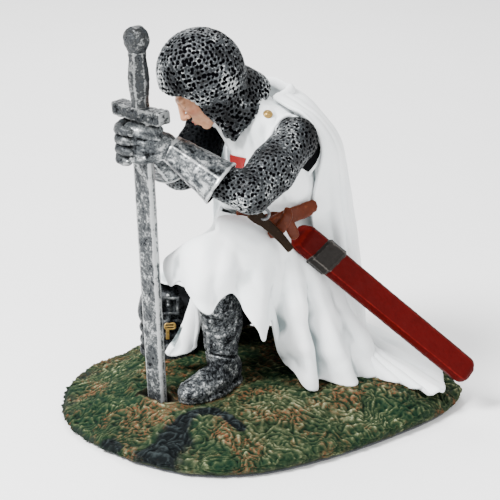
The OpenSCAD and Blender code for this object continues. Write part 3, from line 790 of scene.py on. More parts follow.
def build_pad():
    th = around(360)
    r = outline_radius(th)
    rows = []
    for z, s in ((0.0, 0.5), (0.0, 0.972), (0.12, 0.980), (0.45, 0.984), (0.72, 0.981), (0.82, 0.972),
                 (0.82, 0.5)):
        wob = (fbm(np.c_[np.cos(th) * 9, np.sin(th) * 9, np.full(360, z)], 1.4, 3, 5)
               * (0.10 if s > 0.6 else 0))
        rows.append(np.c_[BASE_X + np.cos(th) * (r * s + wob), np.sin(th) * (r * s + wob), np.full(360, z)])
    g = np.array(rows)
    v = g.reshape(-1, 3)
    f = quads(len(rows), 360, wrap_v=True)
    faces = f.tolist() + [list(range(359, -1, -1)), list(range((len(rows) - 1) * 360, len(rows) * 360))]
    obj = make("felt_pad", v, faces, M_FELT, {"cav": np.zeros(len(v))})
    fix_normals(obj)
    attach(obj, FIG)
    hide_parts("base_pad")


build_pad()


# ---------------------------------------------------------------- cloth

def fold_field(grid, n, amp, seed, closed):
    """Soft vertical folds whose depth amp is given for each row, along the normals."""
    nu, nv = grid.shape[:2]
    f = quads(nu, nv, wrap_u=closed)
    nrm = normals(grid.reshape(-1, 3), f).reshape(grid.shape)
    u = np.arange(nu)[:, None] / nu
    v = np.arange(nv)[None, :] / nv
    drift = noise(np.stack([u * 6 + v * 0, v * 1.6 + u * 0, np.zeros((nu, nv)) + seed], -1), 1.0, seed) * 1.1
    wave = np.cos(2 * math.pi * (n * u + drift))
    wave = np.sign(wave) * np.abs(wave) ** 0.8
    return grid + nrm * (wave * np.asarray(amp)[None, :])[..., None]


MOST_SAMPLES = 26000  # vertices of a cloth whose share of hidden sky is measured by rays


def cloth_piece(name, grid, thick, closed, nodes, soften=4):
    """A sheet of cloth with its hidden parts measured and painted as shade and its hollows measured for the
    wash; it ends just above the floor.
    """
    nu, nv = grid.shape[:2]
    f = quads(nu, nv, wrap_u=closed)
    e = edges_of(f)
    flat = relax(grid.reshape(-1, 3), e, soften)
    grid = flat.reshape(grid.shape)
    v, faces = shell(grid, thick, closed)
    faces = outward(v, faces)
    v[:, 2] = np.maximum(v[:, 2], 1.5)
    tree = BVHTree.FromPolygons(v.tolist(), faces.tolist())
    n = normals(v, faces)
    step = max(1, len(v) // MOST_SAMPLES)
    pick = np.arange(0, len(v), step)
    ao = occlusion(v[pick], n[pick], tree, 9.0, rays=14)
    kd = kd_tree(v[pick])
    full = np.empty(len(v))
    for i in range(len(v)):
        full[i] = ao[kd.find(v[i])[1]] if step > 1 else ao[i]
    full = relax(full[:, None], edges_of(faces), 8)[:, 0]
    cav = cavity(v, faces, 40, 0.35)
    # painted shade on the cloth low on the far front side, between the legs
    inner = (0.55 * smoothstep(-1.0, -4.0, v[:, 0]) * smoothstep(-6.0, -9.0, v[:, 1])
             * smoothstep(36.0, 31.0, v[:, 2]))
    return plain_attrs(name, v, faces, M_WHITE, FIG, nodes,
                       {"cav": cav, "ao": np.maximum(smoothstep(0.15, 0.9, full), inner)})


def plain_attrs(name, v, f, mat, body, nodes, attrs):
    """A finished piece whose paint values are given, riding on a body and replacing CAD nodes."""
    obj = make(name, v, f, mat, attrs)
    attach(obj, body)
    if nodes:
        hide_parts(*nodes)
    return obj


# Each column runs from the belt down to the hem; the columns go round from the front between
# the legs, over the raised knee, along the near side, round the back and over the far thigh.
SKIRT = [
    [(-3, -1.0, 51), (-4, -6, 46.5), (-4.8, -9.0, 38), (-6.0, -11.6, 26), (-10.4, -15.6, 13.8)],
    [(-2.1, -1.1, 51), (-3, -6.6, 47), (-3.4, -9.4, 39), (-3.8, -11.0, 28), (-5.6, -13.2, 15.2)],
    [(-1.0, -1.2, 51), (-1.8, -7.2, 48), (-2.4, -9.8, 40), (-2.4, -10.8, 30), (-2.6, -11.4, 19.0)],
    [(0.4, -1.1, 51), (-0.4, -8.2, 49.4), (-1.8, -13.2, 44.6), (-2.0, -14.4, 39), (-1.2, -14.4, 34)],
    [(2.0, -0.8, 51), (1.4, -10, 51.6), (-0.8, -18.6, 49), (-2.2, -21.6, 44), (-1.4, -21.8, 38.4)],
    [(3.6, -0.4, 51), (3.4, -12, 52.8), (1.8, -21.0, 50.4), (0.2, -24.0, 45), (0.7, -24.2, 37.9)],
    [(5.4, 0.2, 51), (5.6, -13, 53.6), (5.0, -22.2, 51.0), (3.9, -23.6, 46.0), (4.2, -23.2, 40.6)],
    [(7.0, 1.2, 51), (7.4, -12.5, 53.8), (8.2, -21.8, 51.4), (9.6, -25.6, 45.4), (9.4, -25.6, 38.0)],
    [(8.4, 2.2, 50.9), (9.4, -11, 53.4), (11.4, -19.6, 50.2), (13.4, -22.8, 43.6), (13.5, -23.6, 33.6)],
    [(9.4, 3.4, 50.8), (11.4, -8.8, 52.2), (13.8, -16.2, 48.8), (15.4, -18.4, 43.4), (15.2, -18.6, 39.1)],
    [(10.2, 4.8, 50.6), (12.8, -5.8, 51.0), (15.6, -11.6, 46.6), (17.6, -14.6, 39.8), (18.9, -15.0, 32.8)],
    [(10.8, 6.2, 50.4), (13.6, -3.2, 50.2), (16.6, -7.8, 45.0), (19.8, -11.4, 36.4), (22.0, -12.2, 25.4)],
    [(11.1, 7.4, 50.2), (14.0, -0.8, 49.4), (16.8, -3.6, 43.0), (17.8, -6.2, 35.0), (17.6, -6.8, 28.9)],
    [(11.2, 8.6, 50), (14.3, 1.2, 48.6), (17.0, -0.4, 41.2), (16.6, -1.6, 30.0), (13.2, 2.6, 14.4)],
    [(11.2, 9.4, 50), (14.5, 2.6, 48.2), (18.4, 0.8, 41.2), (21.8, -1.2, 29.5), (20.4, 1.4, 13.2)],
    [(11.2, 10.0, 50), (14.6, 3.8, 48.0), (18.8, 2.6, 41.0), (23.4, 0.4, 28.0), (26.2, 1.4, 9.4)],
    [(11.1, 11.0, 50), (14.6, 5.8, 47.4), (18.2, 5.2, 40.4), (19.8, 5.6, 27.0), (23.2, 6.4, 10.4)],
    [(10.8, 12, 50), (14.6, 8.0, 47.0), (19.4, 8.0, 39.6), (25.2, 8.2, 26.0), (31.5, 10.5, 9.4)],
    [(10.3, 13.2, 50), (14.4, 10.8, 46.8), (18.2, 11.8, 39.0), (22.2, 13.8, 25.6), (28.0, 16.2, 9.6)],
    [(9.2, 14.8, 50), (13.2, 14.4, 46.4), (16.8, 16.6, 38.4), (22.6, 19.0, 25.0), (31.0, 22.0, 9.2)],
    [(6.6, 16.6, 50), (9.4, 18.4, 46.0), (11.6, 21.6, 37.0), (14.6, 25.4, 24.0), (18.5, 30.0, 9.4)],
    [(2.4, 17.9, 50), (3.2, 20.8, 46.0), (3.8, 25.4, 36.0), (4.8, 30.6, 23.0), (7.0, 36.2, 9.4)],
    [(-3.4, 18.1, 50), (-4.8, 21.2, 46.0), (-6.0, 26.0, 36.0), (-7.4, 31.4, 23.0), (-9.0, 38.0, 9.4)],
    [(-8.8, 16.6, 50), (-12.0, 19.2, 45.4), (-15.4, 24.0, 35.6), (-18.6, 30.0, 23.0), (-21.5, 37.4, 9.4)],
    [(-12.4, 13.6, 50), (-17.0, 15.2, 45.0), (-21.8, 18.8, 35.0), (-26.2, 24.0, 23.0), (-30.6, 30.0, 9.6)],
    [(-13.4, 9.6, 50), (-18.6, 9.4, 44.0), (-25.0, 10.4, 33.6), (-29.6, 12.4, 23.4), (-33.6, 15.0, 11.0)],
    [(-12.6, 5.8, 50), (-17.4, 4.4, 43.4), (-24.6, 3.4, 34.0), (-29.4, 2.6, 27.0), (-32.0, 2.4, 22.0)],
    [(-10.6, 2.6, 50.0), (-14.0, -0.4, 42.6), (-20.0, -3.6, 35.6), (-24.0, -6.4, 32.2), (-25.4, -7.6, 29.8)],
    [(-8.4, 0.4, 50.4), (-10.2, -3.6, 43.0), (-13.8, -6.6, 36.6), (-16.4, -8.8, 33.0), (-17.6, -9.8, 30.6)],
    [(-6.2, -0.6, 51), (-7.4, -4.8, 44.4), (-9.4, -7.6, 38.0), (-10.4, -8.8, 34.6), (-10.8, -9.4, 32.0)],
    [(-4.2, -1.0, 51), (-5.2, -5.4, 46.0), (-6.0, -8.0, 39.4), (-5.8, -8.8, 33.6), (-5.6, -9.0, 28.0)],
    [(-3.6, -1.0, 51), (-4.6, -5.8, 46.4), (-5.2, -8.6, 38.8), (-5.2, -10.0, 31.0), (-6.4, -11.4, 22.0)],
    [(-3.2, -1.0, 51), (-4.2, -6.0, 46.5), (-4.9, -8.9, 38.4), (-5.4, -10.8, 28.4), (-8.2, -12.6, 17.6)],
]


DEPTH_RISE = 0.2366  # how far each millimetre of y - x lifts a point in the camera's view


def diagonal(p):
    """Reach along the level diagonal that runs from the far front to the near back."""
    return (p[..., 0] + p[..., 1]) / math.sqrt(2)


def seen_height(p):
    """Height of a point as the camera sees it, carried to the plane through the figure's middle."""
    return p[..., 2] + DEPTH_RISE * (p[..., 1] - p[..., 0])


def draw_in(p, waist_only=False):
    """Draws the far side of the body in, to a limit along the far-front diagonal set for each height."""
    d = diagonal(p)
    h = seen_height(p)
    limit = np.interp(h, [40, 46, 53, 62, 68.5, 75, 80], [-40, -4.9, -4.2, -2.6, -1.6, -5.6, -14])
    push = np.logaddexp(0, (limit - d) * 2.2) / 2.2
    if waist_only:
        push = push * smoothstep(45.5, 49.5, p[..., 2])
    q = p.copy()
    q[..., 0] += push / math.sqrt(2)
    q[..., 1] += push / math.sqrt(2)
    return q


def build_skirt():
    nu, nv = 450, 92
    g = smooth_grid(SKIRT, nu, nv, True)
    t = np.linspace(0, 1, nv)
    g = fold_field(g, 19, 0.05 + 0.48 * smoothstep(0.30, 1.0, t), 3, True)
    p = g.reshape(-1, 3)
    n = normals(p, quads(nu, nv, wrap_u=True)).reshape(g.shape)
    g = g + n * (fbm(p, 0.085, 3, 8).reshape(nu, nv) * 0.85)[..., None]
    ragged = fbm(g[:, -1], 0.8, 3, 14) * 0.35
    w = smoothstep(0.93, 1.0, t)
    g[..., 2] += ragged[:, None] * w[None, :]
    g = draw_in(g, True)
    d = diagonal(g)
    h = seen_height(g)
    roof = 48.4 + (d + 4.7) * 0.70
    drop = (np.logaddexp(0, (h - roof) * 1.6) / 1.6 * smoothstep(-4.2, -7.0, d)
            * (1 - smoothstep(48.6, 54.0, g[..., 2])))
    g[..., 2] -= drop
    flat = g.reshape(-1, 3)
    soft = relax(flat, edges_of(quads(nu, nv, wrap_u=True)), 14)
    far = smoothstep(-3.0, -5.5, diagonal(flat)) * smoothstep(43.0, 46.0, flat[:, 2])
    g = (flat + (soft - flat) * far[:, None]).reshape(g.shape)
    cloth_piece("surcoat_skirt", g, 0.95, True, ("skirt",))


build_skirt()

# Each column runs from the neck over the back to the ground, from the near edge to the far edge.
MANTLE = [
    [(8.2, 4.2, 83.4), (13.4, 5.2, 81.6), (17.6, 7.4, 79.2), (20.4, 9.6, 72), (17.9, 9.6, 59),
     (16.8, 10.6, 50), (18.2, 13.2, 40), (21.0, 16.0, 26), (23.5, 17.6, 15.5), (28, 19, 9.6)],
    [(7.8, 7.0, 84.0), (12.8, 9.4, 81.2), (16.8, 12.6, 77.4), (19.6, 15.6, 70), (20.0, 16.6, 58),
     (19.6, 17.8, 49), (19.8, 19.0, 39), (21.4, 20.4, 25), (25.5, 20.8, 15.0), (38.5, 22.2, 8.6)],
    [(7.2, 9.6, 84.2), (11.4, 13.4, 81.0), (14.4, 17.0, 76.2), (17.0, 19.8, 69), (18.2, 21.2, 57),
     (18.6, 22.2, 48), (19.2, 22.8, 38), (20.2, 23.8, 25), (24.5, 24.4, 14.4), (46.0, 26.8, 6.6)],
    [(5.8, 11.8, 84.4), (8.8, 16.8, 80.6), (11.0, 20.2, 75.2), (13.4, 23.2, 68), (15.2, 25.0, 56),
     (16.0, 25.8, 47), (16.6, 26.4, 37), (17.2, 27.6, 24), (21.5, 29.0, 13.8), (44.4, 32.5, 6.8)],
    [(3.4, 13.2, 84.4), (4.8, 18.9, 80.2), (6.0, 22.6, 74.4), (7.4, 26.0, 67), (8.8, 28.4, 55),
     (9.6, 29.6, 46), (10.2, 30.6, 36), (11.2, 32.4, 23), (15.0, 34.4, 13.4), (33, 40.5, 8.4)],
    [(0.2, 14.0, 84.6), (0.2, 20.1, 80.0), (0.0, 24.0, 74.0), (-0.4, 27.4, 66), (-0.8, 30.6, 54),
     (-1.0, 32.4, 45), (-0.8, 34.0, 35), (0.0, 36.8, 22), (2.6, 40.0, 13.0), (13, 45.4, 8.8)],
    [(-3.2, 13.8, 84.4), (-4.8, 19.7, 80.0), (-6.2, 23.4, 74.0), (-8.0, 26.6, 66), (-10.2, 29.6, 54),
     (-11.4, 31.6, 45), (-12.4, 33.8, 35), (-13.6, 37.0, 22), (-12.8, 40.8, 13.0), (-9, 45.6, 8.8)],
    [(-6.4, 12.2, 84.2), (-10.2, 17.2, 80.0), (-13.2, 20.4, 74.4), (-16.0, 23.0, 67), (-19.0, 26.0, 55),
     (-21.2, 28.4, 46), (-23.2, 31.0, 36), (-25.6, 34.4, 23), (-26.4, 37.6, 14.0), (-26, 41.2, 8.6)],
    [(-8.6, 9.4, 84.0), (-14.2, 12.4, 80.6), (-18.6, 15.2, 75.4), (-21.4, 17.6, 68), (-24.0, 20.0, 56),
     (-26.0, 22.4, 47), (-28.2, 25.0, 37), (-31.4, 28.8, 24), (-33.2, 31.6, 14.6), (-35.5, 34.6, 8.6)],
    [(-9.6, 6.0, 83.6), (-15.8, 7.8, 80.8), (-20.8, 10.2, 76.0), (-23.2, 12.4, 69), (-25.0, 15.0, 57),
     (-27.0, 17.6, 47.5), (-29.8, 20.4, 37.5), (-33.6, 23.6, 24), (-36.2, 25.6, 14.6), (-39.5, 27.6, 7.6)],
]


def build_mantle():
    nu, nv = 330, 128
    g = smooth_grid(MANTLE, nu, nv, False)
    t = np.linspace(0, 1, nv)
    g = fold_field(g, 10.5, (0.12 + 0.95 * smoothstep(0.16, 0.6, t)) * (1 - 0.45 * smoothstep(0.85, 1, t)),
                   6, False)
    p = g.reshape(-1, 3)
    n = normals(p, quads(nu, nv)).reshape(g.shape)
    g = g + n * (fbm(p, 0.09, 3, 28).reshape(nu, nv) * 0.35)[..., None]
    g[..., 2] += fbm(g[:, -1], 0.7, 3, 19)[:, None] * 0.3 * smoothstep(0.94, 1, t)[None, :]
    cloth_piece("mantle_cloth", g, 1.0, False, ("mantle",))


build_mantle()


def build_collar():
    path = catmull([(8.4, 5.6, 82.9), (8.8, 9.2, 84.0), (7.6, 11.6, 84.3), (4.2, 13.0, 84.0),
                    (-0.4, 14.0, 84.4),
                    (-4.8, 12.8, 84.3), (-8.0, 9.8, 84.0), (-9.4, 6.0, 83.4)], 90)
    def section(k):
        a = around(28)
        s = k / 89
        r = (1.05 + 0.15 * math.sin(math.pi * s) + 0.10 * math.sin(17 * s)
             + 0.55 * math.exp(-((s - 0.24) / 0.07) ** 2))
        return r * 0.8 * np.cos(a), r * 1.15 * np.sin(a)
    loft("mantle_collar_roll", M_WHITE, FIG, ("mantle_collar",), tube(path, section, (0, 0, 1)), 20, 0.3, 0)


build_collar()


def build_torso():
    rows = [((-1.8, 8.6, 51.2), 9.4, 7.2), ((-1.8, 8.5, 53.0), 12.6, 9.6), ((-0.8, 7.9, 55.0), 16.2, 11.2),
            ((-0.1, 6.8, 60.0), 18.0, 11.8), ((0.2, 5.4, 66.0), 17.6, 10.8), ((0.2, 4.5, 71.0), 16.5, 9.5),
            ((0.2, 3.8, 75.5), 15.8, 8.6), ((0.2, 3.4, 79.0), 14.2, 7.6), ((0.2, 2.8, 81.6), 10.6, 6.4),
            ((0.2, 2.2, 83.2), 7.6, 5.0)]
    nu, nv = 240, 150
    th = around(nu)
    c = catmull([r[0] for r in rows], nv)
    ab = catmull([r[1:] for r in rows], nv)
    g = np.empty((nu, nv, 3))
    for k in range(nv):
        e = 2.0 + 0.35 * smoothstep(60, 74, c[k, 2])
        cx, sy = np.cos(th), np.sin(th)
        g[:, k, 0] = c[k, 0] + ab[k, 0] * np.sign(cx) * np.abs(cx) ** (2 / e)
        g[:, k, 1] = c[k, 1] + ab[k, 1] * np.sign(sy) * np.abs(sy) ** (2 / e)
        g[:, k, 2] = c[k, 2]
    p = g.reshape(-1, 3)
    n = normals(p, quads(nu, nv, wrap_u=True))
    # soft creases that run from the shoulders to the belt
    crease = noise(np.c_[p[:, 0] * 0.9 + p[:, 2] * 0.35, p[:, 1] * 0.9, p[:, 2] * 0.22], 0.30, 61) * 0.75
    crease += noise(np.c_[p[:, 0], p[:, 1], p[:, 2] * 0.4], 0.55, 62) * 0.22
    p = p + n * crease[:, None]
    p = draw_in(relax(p, edges_of(quads(nu, nv, wrap_u=True)), 3))
    v, f, a, b = closed_tube(np.swapaxes(p.reshape(nu, nv, 3), 0, 1))
    cav = cavity(v, f, 30, 0.25)
    # painted shade: darker towards the waist and on the upper front of the chest, through ao
    low = 1 - smoothstep(50, 60, v[:, 2])
    front = smoothstep(0, -4, v[:, 1]) * smoothstep(60, 76, v[:, 2])
    obj = make("surcoat_body", v, [*f.tolist(), *a.tolist(), *b.tolist()], M_WHITE,
               {"cav": cav, "ao": np.clip(0.35 * low + 0.3 * front, 0, 1)})
    fix_normals(obj)
    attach(obj, FIG)
    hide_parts("surcoat")
    return BVHTree.FromPolygons(v.tolist(), f.tolist())


TORSO = build_torso()


# ---------------------------------------------------------------- solid modelling with distance fields

def rot(axis, deg):
    a = math.radians(deg)
    c, s = math.cos(a), math.sin(a)
    return {"x": np.array([[1, 0, 0], [0, c, -s], [0, s, c]]),
            "y": np.array([[c, 0, s], [0, 1, 0], [-s, 0, c]]),
            "z": np.array([[c, -s, 0], [s, c, 0], [0, 0, 1]])}[axis]


def ball(p, c, r):
    return np.linalg.norm(p - np.asarray(c, float), axis=-1) - r


def egg(p, c, r):
    """Nearly exact distance to an ellipsoid."""
    r = np.asarray(r, float)
    q = p - np.asarray(c, float)
    k0 = np.linalg.norm(q / r, axis=-1)
    k1 = np.linalg.norm(q / (r * r), axis=-1)
    return k0 * (k0 - 1.0) / np.maximum(k1, 1e-9)


def rod(p, a, b, r0, r1=None):
    """A capsule whose radius runs from r0 to r1."""
    a, b = np.asarray(a, float), np.asarray(b, float)
    r1 = r0 if r1 is None else r1
    t = np.clip(((p - a) @ (b - a)) / ((b - a) @ (b - a)), 0, 1)
    return np.linalg.norm(p - a - t[..., None] * (b - a), axis=-1) - (r0 + (r1 - r0) * t)


def smin(a, b, k):
    h = np.clip(0.5 + 0.5 * (b - a) / k, 0, 1)
    return b + (a - b) * h - k * h * (1 - h)


def smax(a, b, k):
    return -smin(-a, -b, k)


def surface(field, lo, hi, h):
    """The zero surface of a distance field on a grid, as vertices and quads."""
    ax = [np.arange(a, b + h, h) for a, b in zip(lo, hi)]
    d = np.empty([len(a) for a in ax])
    for i, x in enumerate(ax[0]):
        yy, zz = np.meshgrid(ax[1], ax[2], indexing="ij")
        d[i] = field(np.stack([np.full_like(yy, x), yy, zz], -1))
    d[[0, -1]] = d[:, [0, -1]] = 9.0
    d[:, :, [0, -1]] = 9.0
    neg = d < 0
    n = np.array(d.shape) - 1
    corner = [(i, j, k) for i in (0, 1) for j in (0, 1) for k in (0, 1)]
    cut = lambda a, c: a[c[0]:c[0] + n[0], c[1]:c[1] + n[1], c[2]:c[2] + n[2]]
    count = sum(cut(neg, c).astype(np.int8) for c in corner)
    live = (count > 0) & (count < 8)
    cells = np.argwhere(live)
    index = np.full(live.shape, -1, np.int64)
    index[live] = np.arange(len(cells))
    pos, hits = np.zeros((len(cells), 3)), np.zeros(len(cells))
    value = {c: cut(d, c)[live] for c in corner}
    for a in corner:
        for k in range(3):
            if a[k]:
                continue
            b = tuple(1 if q == k else a[q] for q in range(3))
            va, vb = value[a], value[b]
            cross = (va < 0) != (vb < 0)
            t = va[cross] / (va[cross] - vb[cross])
            q = np.tile(np.array(a, float), (len(t), 1))
            q[:, k] += t
            pos[cross] += q
            hits[cross] += 1
    v = (cells + pos / hits[:, None]) * h + np.array([a[0] for a in ax])
    faces = []
    for k in range(3):
        i, j = [(1, 2), (2, 0), (0, 1)][k]
        lo_, hi_ = [slice(None)] * 3, [slice(None)] * 3
        lo_[k], hi_[k] = slice(None, -1), slice(1, None)
        a, b = neg[tuple(lo_)], neg[tuple(hi_)]
        for flip, mask in ((False, a & ~b), (True, ~a & b)):
            e = np.argwhere(mask)
            e = e[(e[:, i] > 0) & (e[:, j] > 0)]
            quad = []
            for di, dj in ((0, 0), (-1, 0), (-1, -1), (0, -1)):
                q = e.copy()
                q[:, i] += di
                q[:, j] += dj
                quad.append(index[q[:, 0], q[:, 1], q[:, 2]])
            quad = np.stack(quad, 1)
            faces.append(quad[:, ::-1] if flip else quad)
    f = np.concatenate(faces)
    f = f[(f >= 0).all(1)]
    a, b, c, e = (v[f[:, k]] for k in range(4))
    return relax(v, edges_of(f), 1), f


def solid(name, field, lo, hi, h, mat, body, nodes=(), cav_scale=0.1, cav_times=6, rough=0.0, seed=1):
    """A piece made from a distance field between the corners lo and hi, sampled every h."""
    v, f = surface(field, lo, hi, h)
    if rough:
        v = v + normals(v, f) * (fbm(v, 0.7, 3, seed) * rough)[:, None]
    return plain(name, v, f, mat, body, nodes, cav_scale, cav_times)


def scatter(v, gap, seed, keep=None):
    """Points spread over vertices so that no two are nearer than gap."""
    order = np.random.default_rng(seed).permutation(len(v))
    if keep is not None:
        order = order[keep[order]]
    cell, taken = {}, []
    key = np.floor(v / gap).astype(int)
    for i in order:
        k = tuple(key[i])
        ok = True
        for dx in (-1, 0, 1):
            for dy in (-1, 0, 1):
                for dz in (-1, 0, 1):
                    for j in cell.get((k[0] + dx, k[1] + dy, k[2] + dz), ()):
                        if ((v[i] - v[j]) ** 2).sum() < gap * gap:
                            ok = False
        if ok:
            cell.setdefault(k, []).append(i)
            taken.append(i)
    return v[taken]


def mail(v, f, centres, radius, depth, seed, where=None):
    """Sinks round holes at centres; returns moved vertices and how deep in a hole each one is."""
    kd = kd_tree(centres)
    near = [kd.find_n(p, 2) for p in v]
    d1 = np.array([q[0][2] for q in near]) + fbm(v, 0.75, 2, seed + 5) * radius * 0.75
    which = np.array([q[0][1] for q in near])
    r = radius * (1 + 0.22 * np.random.default_rng(seed).uniform(-1, 1, len(centres)))[which]
    pit = 1 - smoothstep(r * 0.55, r * 1.25, d1)
    rim = np.exp(-((d1 - r * 1.55) / (r * 0.35)) ** 2)
    w = 1.0 if where is None else where
    v = v + normals(v, f) * ((-pit * depth + rim * depth * 0.22) * w)[:, None]
    return v, pit * w


# ---------------------------------------------------------------- head and mail hood

HEAD = rot("z", -40) @ rot("x", 43)
HEAD_AT = np.array([-2.0, -10.4, 88.0])
HEAD_SCALE = 0.94
HOOD_AT = np.array([-2.5, -10.6, 91.2])
HOOD_R = (10.0, 11.2, 11.3)


def face_field(p):
    q = (p - HEAD_AT) @ HEAD
    q = q / HEAD_SCALE
    s = q.copy()
    s[..., 0] = np.abs(s[..., 0])
    d = egg(q, (0, 0.8, 2.4), (6.6, 8.3, 7.8))
    d = smin(d, egg(q, (0, -3.0, -2.4), (5.5, 5.5, 7.4)), 1.2)
    d = smin(d, egg(q, (0, -2.4, -5.8), (4.9, 4.6, 4.2)), 1.0)
    d = smin(d, egg(s, (0.5, -6.6, -8.6), (1.9, 1.6, 1.5)), 1.4)
    d = smin(d, egg(s, (3.7, -5.4, -1.9), (1.9, 2.1, 1.8)), 1.6)
    d = smax(d, -egg(s, (2.75, -9.5, 0.0), (1.75, 1.75, 1.15)), 0.9)
    d = smin(d, rod(s, (0.6, -7.95, 1.45), (3.9, -6.9, 1.75), 0.62), 0.9)
    d = smin(d, ball(s, (2.75, -6.55, -0.1), 1.45), 0.35)
    d = smin(d, rod(q, (0, -7.9, 1.0), (0, -10.15, -3.1), 0.62, 0.82), 0.75)
    d = smin(d, ball(q, (0, -10.0, -3.35), 0.9), 0.5)
    d = smin(d, ball(s, (1.0, -8.9, -3.65), 0.68), 0.5)
    d = smax(d, -rod(s, (0.55, -9.2, -4.5), (0.6, -9.0, -3.9), 0.26), 0.2)
    d = smin(d, egg(q, (0, -7.5, -6.3), (2.6, 1.35, 1.7)), 1.0)
    d = smin(d, rod(s, (0.25, -8.98, -5.72), (1.65, -8.2, -6.12), 0.40, 0.22), 0.35)
    d = smin(d, rod(s, (0.0, -8.85, -6.72), (1.35, -8.2, -6.45), 0.50, 0.25), 0.35)
    d = smax(d, -rod(s, (0, -9.35, -6.2), (1.7, -8.45, -6.25), 0.13), 0.18)
    d = smax(d, -rod(s, (0, -8.75, -7.75), (0.9, -8.5, -7.65), 0.42), 0.7)
    return d * HEAD_SCALE


def build_face():
    lo, hi = HEAD_AT - [12.5, 12.5, 12.5], HEAD_AT + [8, 8, 9]
    v, f = surface(face_field, lo, hi, 0.16)
    q = ((v - HEAD_AT) @ HEAD) / HEAD_SCALE
    sx = np.abs(q[:, 0])
    bump = lambda c, r: np.exp(-(((np.c_[sx, q[:, 1], q[:, 2]] - np.array(c)) / r) ** 2).sum(1))
    lips = np.maximum(bump((0.4, -9.1, -5.75), (1.35, 0.8, 0.36)),
                      bump((0.3, -9.0, -6.75), (1.25, 0.8, 0.42)))
    brow_z = 1.95 + 0.25 * np.cos((sx - 2.4) * 0.9)
    brow = (np.exp(-((q[:, 2] - brow_z) / 0.34) ** 2) * smoothstep(0.7, 1.4, sx)
            * (1 - smoothstep(3.9, 4.8, sx)) * (q[:, 1] < -5))
    lash = (np.exp(-((q[:, 2] + 0.78 - 0.10 * (sx - 2.75) ** 2) / 0.17) ** 2) * (np.abs(sx - 2.75) < 1.5)
            * (q[:, 1] < -6.3))
    fold = (np.exp(-((q[:, 2] - 0.72 + 0.10 * (sx - 2.75) ** 2) / 0.16) ** 2) * (np.abs(sx - 2.75) < 1.5)
            * (q[:, 1] < -6.3))
    blush = np.clip(bump((4.2, -6.2, -2.6), (1.9, 2.2, 1.6)) * 0.9
                    + bump((0, -10.2, -3.3), (1.0, 0.9, 0.9)) * 0.5, 0, 1)
    cav = np.clip(cavity(v, f, 10, 0.10) + fold * 0.55, -1, 1)
    obj = make("head_face", v, f, M_SKIN, {"cav": cav, "ao": np.zeros(len(v)), "blush": blush,
                                           "lip": smoothstep(0.25, 0.8, lips),
                                           "hair": np.clip(brow * 0.75 + lash * 0.9, 0, 1)})
    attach(obj, FIG)
    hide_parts("head")


build_face()


def hood_shape(p):
    q = (p - HOOD_AT) @ HEAD
    d = egg(q, (0, 0, 0), HOOD_R)
    d = smin(d, egg((p - HEAD_AT) @ HEAD, (0, 0.6, -4.0), (7.6, 7.0, 7.6)), 2.0)
    d = smin(d, rod(p, HOOD_AT + [0.4, 0.8, -2.5], (0.5, 2.3, 83.0), 8.5, 7.1), 1.3)
    cape = smin(egg(p, (0.6, -3.2, 80.6), (8.6, 8.0, 7.2)),
                rod(p, (4.9, -4.9, 75.6), (0.5, -6.4, 78.6), 2.9), 1.5)
    return smin(d, cape, 1.6)


def hood_field(p):
    d = hood_shape(p)
    q = (p - HEAD_AT) @ HEAD
    mouth = egg(q, (0, -10.6, -2.7), (9.6, 8.0, 9.3))
    mouth = smin(mouth, egg(q, (0, -7.5, -9.5), (5.6, 4.2, 4.6)), 1.0)
    cheek = np.stack([np.abs(q[..., 0]), q[..., 1], q[..., 2]], -1)
    mouth = smin(mouth, egg(cheek, (6.2, -7.2, -0.4), (3.6, 3.6, 4.2)), 1.6)
    d = smax(d, -mouth, 0.5)
    dag = 3.3 * np.exp(-((p[..., 0] - 5.0) ** 2 + (p[..., 1] + 6.2) ** 2) / 7.5)
    throat = 1.8 * smoothstep(3.2, -0.5, p[..., 0]) * smoothstep(-5.0, -8.5, p[..., 1])
    hem = (84.0 + 0.649 * (p[..., 1] - 4.2) - dag + throat - p[..., 2]
           + 0.25 * np.sin(p[..., 0] * 1.9 + p[..., 1]))
    return smax(d, hem / 1.19, 0.35)


def build_hood():
    v, f = surface(hood_field, (-15.5, -24.5, 73.5), (12.5, 14.5, 104), 0.18)
    n = normals(v, f)
    # rows of rings round the crown, then rings scattered where the rows leave the lower hood bare
    gap = 1.26
    r = np.random.default_rng(12)
    centres = []
    pole = unit(np.array([0, 0.45, 1.0]))
    side = unit(np.cross(pole, [1, 0, 0]))
    third = np.cross(pole, side)
    radius = 11.2
    for k in range(1, int(radius * 2.3 / gap)):
        ang = k * gap / radius
        m = max(3, round(2 * math.pi * radius * math.sin(ang) / gap))
        for i in range(m):
            a = 2 * math.pi * (i + 0.5 * (k % 2)) / m
            dirn = pole * math.cos(ang) + (side * math.cos(a) + third * math.sin(a)) * math.sin(ang)
            c = HOOD_AT + HEAD @ (dirn * np.array(HOOD_R))
            centres.append(c + r.normal(size=3) * 0.13)
    centres = np.array(centres)
    keep = np.abs(hood_shape(centres)) < 0.9
    centres = centres[keep]
    kd = kd_tree(centres)
    low = v[:, 2] < 96
    loose = np.array([low[i] and kd.find(v[i])[2] > gap * 0.95 for i in range(len(v))])
    more = scatter(v, 1.08, 4, loose)
    centres = np.concatenate([centres, more])
    depth = hood_shape(v)
    skin = smoothstep(-0.5, -0.12, depth)
    v2, pit = mail(v, f, centres, 0.44, 0.40, 5, skin)
    v2 = v2 + n * (fbm(v, 1.3, 2, 77) * 0.05)[:, None]
    # painted shade: the hood's inner faces are darkened through ao and partly through pit
    shade = 1 - skin
    return plain_attrs("mail_hood", v2, f, M_MAIL, FIG, ("hood",),
                       {"pit": np.maximum(pit, shade * 0.35), "cav": cavity(v2, f, 12, 0.2), "ao": shade})


build_hood()


# ---------------------------------------------------------------- arms

